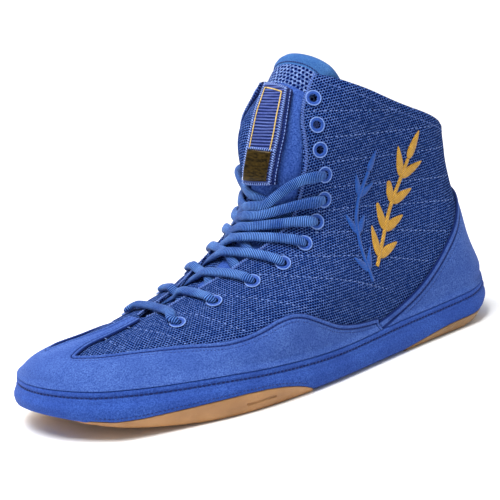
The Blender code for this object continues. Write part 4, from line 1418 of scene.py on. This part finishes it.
def buildBacking():
    heights = np.linspace(garter["low"], garter["high"], garter["backRows"])
    place, across, _ = frontSheet(heights, np.linspace(-1, 1, garter["columns"]), backingEdges)
    fall = edgeFall(*place.shape, (1.5, 1.5))
    outer, inner = garter["backTop"] - 0.7 * fall, garter["seat"] + 0.3 * fall
    backing = patchPiece("garterBacking", place, across, outer, inner, [backingRib])


def buildWebbing():
    ribCount = (garter["high"] - garter["low"]) / garter["ribPitch"]
    heights = np.linspace(garter["low"], garter["high"], int(ribCount * garter["rowsPerRib"]))
    shares = np.linspace(-1, 1, garter["columns"])
    place, across, height = frontSheet(heights, shares, webbingEdges)
    ribbed = 0.5 - 0.5 * np.cos(2 * math.pi * (height - garter["low"]) / garter["ribPitch"])
    inside = step(0.0, garter["ribMargin"], 1 - np.abs(shares))[None, :]
    crown = -garter["crown"] * shares[None, :] ** 2
    outer = garter["top"] - garter["ribDepth"] * (1 - ribbed) * inside + crown
    outer = outer - garter["edgeRound"] * edgeFall(*place.shape, (5, 1.6))
    band = patchPiece("garterWebbing", place, across, outer, garter["backTop"] + 0.1, [webbingRib])
    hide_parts("lace_garter")


def buildGarterSeams():
    inset, edge, ledgeEdge = garter["seamInset"], garter["seamShare"], garter["ledgeShare"]
    low, high, ledge = garter["low"] + inset, garter["high"] - inset, garter["plateHigh"] + inset
    round4 = [(low, -edge), (high, -edge), (high, edge), (low, edge), (low, -edge)]
    edges = [garterLine(round4, garter["top"] - garter["crown"]),
             garterLine([(ledge, -ledgeEdge), (ledge, ledgeEdge)], garter["top"] - 0.1)]
    stitchRow("garterEdgeStitches", edges, lightThread, garter["edgeStitch"])
    h = np.linspace(low, high, 80)
    at, y = placeAt(h), backingEdges(h)[1] - 0.7
    back = frontPoint(at, y, garter["backTop"] - 0.2), frontNormal(at, y)
    stitchRow("garterBackStitches", [back], lightThread, garter["backStitch"])
    share, lineLow, lineHigh = garter["lineShare"], garter["lineLow"], garter["lineHigh"]
    corners = [(lineLow, -share), (lineHigh, -share), (lineHigh, share), (lineLow, share)]
    stitchRow("garterGoldLine", [garterLine(corners, garter["top"] + 0.02)], goldThread, garter["goldStitch"])


def buildPlate():
    heights = np.linspace(garter["plateLow"], garter["plateHigh"], garter["plateRows"])
    place, across, _ = frontSheet(heights, np.linspace(-1, 1, garter["plateColumns"]), plateEdges)
    fall = edgeFall(*place.shape, (2.5, 2.5))
    base = garter["top"] + garter["gap"]
    frameLine = np.exp(-((fall - 0.12) / 0.08) ** 2)  # a fine groove inside the plate's edge
    outer = base + garter["plateThick"] - 0.4 * fall - 0.12 * frameLine
    plate = patchPiece("garterPlate", place, across, outer, base, [goldFoil])
    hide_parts("garter_plate")


for build in (buildTongue, buildPanel, buildBacking, buildWebbing, buildGarterSeams, buildPlate):
    build()
print("tongue and garter made")

# Eyelets: a thin stitched ring round a flat enamelled washer
eyelet = {
    "washer": {"Radius": 3.15 * mm, "Wire": 0.95 * mm, "Flatten": 0.42},
    "ring": {"Radius": 4.15 * mm, "Wire": 0.38 * mm, "Flatten": 0.9},
    "radius": 4.6, "rise": 0.35, "overBulge": 0.8, "ringRise": 0.15,
}


def eyeletSeats():
    points, rises, runs = [], [], []
    for side in (1, -1):
        for x, z in eyeletTable:
            at = np.array([float(x), float(z)])
            point = sidePoint(at[0], at[1], side)
            rise = sideNormal(at[:1], at[1:], side)[0]
            a = np.arange(8) * math.pi / 4
            rimX = x + eyelet["radius"] * np.cos(a) * abs(rise[1])
            rimZ = z + eyelet["radius"] * np.sin(a) * abs(rise[1])
            high = max(0.0, float(((sidePoint(rimX, rimZ, side) - point) @ rise).max()))
            points.append(point + rise * (eyelet["rise"] + eyelet["overBulge"] * high))
            rises.append(rise)
            runs.append(np.cross([0, 0, 1], rise))
    return np.array(points), np.array(rises), np.array(runs)


eyePoints, eyeRises, eyeRuns = eyeletSeats()
eyeTurns = {"rise": eyeRises, "run": eyeRuns}
eyeCounts = [str(k + 1) for k in range(len(eyeletTable))]
eyeNodes = ["eyelet_" + side + "_" + count for side in ("lateral", "medial") for count in eyeCounts]
washers = grown("eyeletWashers", ringNodes, eyePoints, [], eyeTurns,
                {**eyelet["washer"], "Material": eyeletEnamel})
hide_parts(*eyeNodes)
grown("eyeletRings", ringNodes, eyePoints + eyeRises * eyelet["ringRise"], [], eyeTurns,
      {**eyelet["ring"], "Material": ringThread})

# Lace: one cord from the top laced eyelet down to the bar and up the other side
lace = {
    "width": 5.5, "thick": 3.2, "sides": 16, "spacing": 0.7,
    "crossings": [  # row, height of the crossing, its share of the throat's half width, press on the inner side
        (3, 96, 0.56, 0.9), (4, 90, 0.46, 0.9), (5, 84, 0.38, 0.7), (6, 78.5, 0.3, 0.4),
        (7, 72, 0.3, 0), (8, 63.5, 0.3, 0), (9, 56.3, 0.3, 0),
    ],
    "rise": [  # share of the run, upper strand, lower strand
        (0.09, 1.8, 1.7), (0.17, 1.6, 0.4), (0.26, 1.4, -1.0), (0.36, 1.5, -1.4), (0.5, 1.6, -1.4),
        (0.64, 0.9, -1.5), (0.8, -0.9, -1.6), (1, -1.9, -1.9),
    ],
    "overEdge": 1.8,  # rise of a strand while it lies on the quarter
    "barRise": [(0.12, 3.0), (0.3, 2.2), (0.5, 1.6), (0.7, 2.2), (0.88, 3.0)],
    "barHeight": 51.0, "dive": 0.5, "start": 0.92, "edgeClearance": 4.5,
    "underThick": 1.25, "underWidth": 5.0, "underOffset": -2.75, "underAt": (0.45, 0.8), "endThin": 0.8,
    "throughHole": [  # rise over the eyelet, way towards the throat, width, thickness, lean
        (-2.9, 0.0, 3.4, 1.25, 1.0), (-0.8, 0.0, 3.4, 2.6, 0.9),
        (0.9, 0.9, 4.4, 2.7, 0.6), (1.8, 3.0, 5.5, 3.2, 0.15),
    ],
}


def eyeletFront(row, side):
    x, z = (np.array(float(v)) for v in eyeletTable[row])
    return float(nearest(frontLine, x, z)[1]), side * float(halfWidth(x, z, side))


def knot(place, y, rise, width, thick):
    point = frontPoint(place, y, rise)
    return [*point, *frontNormal(place, y), width, thick]


def throughEyelet(row, side, upward):  # out of the hole and over the ring, or back in
    index = row + (0 if side > 0 else len(eyeletTable))
    point, rise = eyePoints[index], eyeRises[index]
    place, y = eyeletFront(row, side)
    toThroat = unit(frontPoint(place - 0.05, y * 0.8) - frontPoint(place, y))
    knots = []
    for up, out, width, thick, lean in lace["throughHole"]:
        facing = unit(rise * (1 - lean) - toThroat * lean)
        knots.append([*(point + rise * up + toThroat * out), *facing, width, thick])
    return knots if upward else knots[::-1]


def strandKnots(row, height, share, press, side):
    column = 1 if side > 0 else 2
    start, startY = eyeletFront(row, side)
    startY *= lace["start"]
    cross = float(placeAt(height))
    end = cross - lace["dive"] * (start - cross)
    edgeY = float(straight(throatTable, 1, height))
    crossY, endY = share * edgeY, -side * (edgeY - lace["edgeClearance"])
    knots = throughEyelet(row, side, True)
    for entry in lace["rise"]:
        before = max(1 - 2 * entry[0], 0)
        after = max(2 * entry[0] - 1, 0)
        place = cross + (start - cross) * before + (end - cross) * after
        y = startY * before + crossY * (1 - before - after) + endY * after
        rise = entry[column] - press * (side < 0)
        if before > 0:
            edge = float(straight(throatTable, 1, float(onFront(place)[1])))
            onQuarter = float(step(edge - 3.0, edge - 0.5, abs(y)))
            rise = max(rise, rise + (lace["overEdge"] - rise) * onQuarter)
        knots.append(knot(place, y, rise, lace["width"], lace["thick"] - lace["endThin"] * (entry[0] > 0.9)))
    nextPlace, nextY = eyeletFront(row + 1, -side)
    for part in lace["underAt"]:
        place = end + (nextPlace - end) * part
        y = endY + (nextY - endY) * part
        knots.append(knot(place, y, lace["underOffset"], lace["underWidth"], lace["underThick"]))
    return knots


def laceRun(firstSide):
    knots = []
    side = firstSide
    for row, height, share, press in lace["crossings"]:
        knots += strandKnots(row, height, share, press, side)
        side = -side
    return knots, side


def buildLace():
    lateralRun, lateralEnd = laceRun(1)
    medialRun, medialEnd = laceRun(-1)
    bottom = len(eyeletTable) - 1
    first, firstY = eyeletFront(bottom, lateralEnd)
    lastY = eyeletFront(bottom, medialEnd)[1]
    middle = float(placeAt(lace["barHeight"]))
    bar = throughEyelet(bottom, lateralEnd, True)
    for share, rise in lace["barRise"]:
        bow = 1 - (2 * share - 1) ** 2
        y = (firstY + (lastY - firstY) * share) * lace["start"]
        bar.append(knot(first + (middle - first) * bow, y, rise, lace["width"], lace["thick"]))
    bar += throughEyelet(bottom, medialEnd, False)
    route = curveThrough(np.array(lateralRun + bar + medialRun[::-1]), lace["spacing"])
    points, faces = tube(route[:, :3], unit(route[:, 3:6]), route[:, 6], route[:, 7], lace["sides"])
    reach = reachAlong(route[:, :3])
    around = np.sin(2 * math.pi * (np.arange(lace["sides"]) + 0.5) / lace["sides"])
    uv = np.stack(np.broadcast_arrays(around[None, :], reach[:, None]), -1).reshape(-1, 2)
    piece = addPiece("laceCord", points, faces, [laceRib], uv)
    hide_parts("lace_bar", *["lace_crossing_" + str(k) for k in (1, 2, 3, 4)])
    print("lace length", round(reach[-1]), "mm")


buildLace()

def flatCurve(points, spacing):  # a smooth run through points of the side view
    return curveThrough(np.array(points, float)[:, [0, 1, 1]], spacing)[:, :2]


# Stitching on the upper: quilted lines, collar line and the overcast throat edge
seams = {
    "quilt": {"pitch": 3.3, "length": 1.8, "width": 0.55, "height": 0.4},
    "collar": {"pitch": 2.6, "length": 2.0, "width": 0.6, "height": 0.5},
    "throat": {"pitch": 1.35, "length": 2.4, "width": 1.0, "height": 0.9, "slant": 62.0},
    "collarDrop": 5.5, "collarEnd": 3.0, "throatTop": 172.0, "throatInset": 0.7,
}


def sideLine(points, side, rise):
    x, z = flatCurve(points, 1.5).T
    normal = sideNormal(x, z, side)
    return sidePoint(x, z, side) + normal * (rise + softRelief(x, z))[:, None], normal


def buildSeams():
    quilt = [sideLine(line, side, 0.15) for line in upper["quilt"] for side in (1, -1)]
    stitchRow("quiltStitches", quilt, quiltThread, seams["quilt"])
    collarLines, throatLines = [], []
    for side in (1, -1):
        edgeLevel, edgeX = throatEdge(side)
        front, back = float(np.interp(1, edgeLevel, edgeX)), levelEnds(np.array(1.0))[0]
        x = np.linspace(front - seams["collarEnd"], back + seams["collarEnd"], 90)
        collarLines.append(sideLine(np.stack([x, sideCollar(x, side) - seams["collarDrop"]], 1), side, 0.1))
        h = np.linspace(throatTable[0][0] + 0.5, seams["throatTop"], 160)
        y = side * (smooth(throatTable, 1, h) + seams["throatInset"])
        at = placeAt(h)
        edge = frontPoint(at, y, 0.1)
        keep = edge[:, 2] < sideCollar(edge[:, 0], side) - 0.5
        throatLines.append((edge[keep], frontNormal(at, y)[keep]))
    stitchRow("collarStitches", collarLines, blueThread, seams["collar"])
    stitchRow("throatEdgeStitches", throatLines, blueThread, seams["throat"])


buildSeams()

# Emblem: a gold leaf sprig in satin stitch with a blue bough beside it, on the outer side
emblem = {
    # stem in the side view, pairs of leaves, their opening in degrees, length, width and height of a leaf
    "sprig": ([(97, 52), (88, 63), (77, 77), (66, 91), (57, 104)], 4, 36.0, (18.0, 6.6, 1.5)),
    "bough": ([(103, 45), (105, 59), (103, 74), (97, 89), (88, 103)], 3, 34.0, (13.0, 5.2, 1.2)),
    "stemWidth": 2.4, "stemThick": 1.1, "stemSides": 10, "stemRise": 0.35, "leafRise": 0.25, "firstLeaf": 0.35,
}


def surfaceRun(x, z, angle, side):
    ahead = sidePoint(x + math.cos(angle), z + math.sin(angle), side)
    return unit(ahead - sidePoint(x, z, side))


def sprig(name, stem, pairs, opened, size, material):
    path = flatCurve(stem, 1.0)
    points, runs = [], []
    for k in range(pairs):
        index = int((k + emblem["firstLeaf"]) / pairs * (len(path) - 1))
        at = path[index]
        ahead = path[min(len(path) - 1, index + 3)]
        heading = math.atan2(ahead[1] - at[1], ahead[0] - at[0])
        for lean in (opened, -opened):
            points.append(at)
            runs.append(surfaceRun(at[0], at[1], heading + math.radians(lean), 1))
    end = path[-1]
    heading = math.atan2(*(path[-1] - path[-4])[::-1])
    points.append(end)
    runs.append(surfaceRun(end[0], end[1], heading, 1))
    points = np.array(points)
    rises = sideNormal(points[:, 0], points[:, 1], 1)
    seats = sidePoint(points[:, 0], points[:, 1], 1) + rises * emblem["leafRise"]
    sizes = {label: value * mm for label, value in zip(("Length", "Width", "Height"), size)}
    grown(name + "Leaves", leafNodes, seats, [], {"rise": rises, "run": np.array(runs)},
          {**sizes, "Material": material})
    normals = sideNormal(path[:, 0], path[:, 1], 1)
    centreLine = sidePoint(path[:, 0], path[:, 1], 1) + normals * emblem["stemRise"]
    widths, thicks = (np.full(len(path), emblem[key]) for key in ("stemWidth", "stemThick"))
    verts, faces = tube(centreLine, normals, widths, thicks, emblem["stemSides"])
    addPiece(name + "Stem", verts, faces, [material])


sprig("bough", *emblem["bough"], blueSatin)
sprig("sprig", *emblem["sprig"], goldSatin)
print("lace, seams and emblem made")

# Floor, light and camera
stage = {
    "turn": 39.00, "height": 12.38, "roll": 6.03, "distance": 1.0724, "target": (0.002, 0.00133, 0.080),
    "lens": 139.9, "sensor": 36.0, "shift": (-0.0169, -0.0430), "floor": 6.0, "world": 0.48,
    "lights": [  # name, offset from the target, power, width
        ("key", (0.5, 0.12, 1.3), 30.0, 0.8), ("fill", (-0.6, 1.0, 0.5), 1.0, 1.0),
        ("rim", (0.3, -1.0, 0.7), 5.0, 0.8), ("backdrop", (-1.9, -2.5, 1.6), 60.0, 3.0),
    ],
}


def buildStage():
    scene = bpy.context.scene
    turn, height, roll = (math.radians(stage[k]) for k in ("turn", "height", "roll"))
    back = Vector((math.sin(turn) * math.cos(height), math.cos(turn) * math.cos(height), math.sin(height)))
    right = Vector((-math.cos(turn), math.sin(turn), 0))
    up = back.cross(right)
    turnedRight = right * math.cos(roll) - up * math.sin(roll)
    turnedUp = right * math.sin(roll) + up * math.cos(roll)
    data = bpy.data.cameras.new("camera")
    data.lens = stage["lens"]
    data.sensor_width = stage["sensor"]
    data.shift_x, data.shift_y = stage["shift"]
    data.clip_start, data.clip_end = 0.05, 50
    camera = bpy.data.objects.new("camera", data)
    place = Matrix((turnedRight, turnedUp, back)).transposed().to_4x4()
    place.translation = Vector(stage["target"]) + back * stage["distance"]
    camera.matrix_world = place
    scene.collection.objects.link(camera)
    scene.camera = camera
    mesh = bpy.data.meshes.new("floor")
    size = stage["floor"]
    corners = [(-size, -size, 0), (size, -size, 0), (size, size, 0), (-size, size, 0)]
    mesh.from_pydata(corners, [], [(0, 1, 2, 3)])
    pale, tree, shader = newMaterial("paleFloor", (0.9, 0.9, 0.9), 0.85)
    cloud = softStep(tree, noise(tree, 0.4, 2.0), 0.3, 0.7)
    tree.links.new(mixed(tree, cloud, (0.88, 0.88, 0.885), (0.92, 0.92, 0.92)), shader.inputs["Base Color"])
    mesh.materials.append(pale)
    floor = bpy.data.objects.new("floor", mesh)
    scene.collection.objects.link(floor)
    world = bpy.data.worlds.new("studio")
    world.use_nodes = True
    world.node_tree.nodes["Background"].inputs[0].default_value = (1, 1, 1, 1)
    world.node_tree.nodes["Background"].inputs[1].default_value = stage["world"]
    scene.world = world
    scene.view_settings.view_transform = "Standard"
    aim = Vector(stage["target"])
    for name, offset, power, width in stage["lights"]:
        light = bpy.data.lights.new(name, "AREA")
        light.energy = power
        light.size = width
        lamp = bpy.data.objects.new(name, light)
        lamp.location = aim + Vector(offset)
        facing = -Vector(offset) if name != "backdrop" else Vector((0, 0, -1))
        lamp.rotation_euler = facing.to_track_quat("-Z", "Y").to_euler()
        scene.collection.objects.link(lamp)


buildStage()
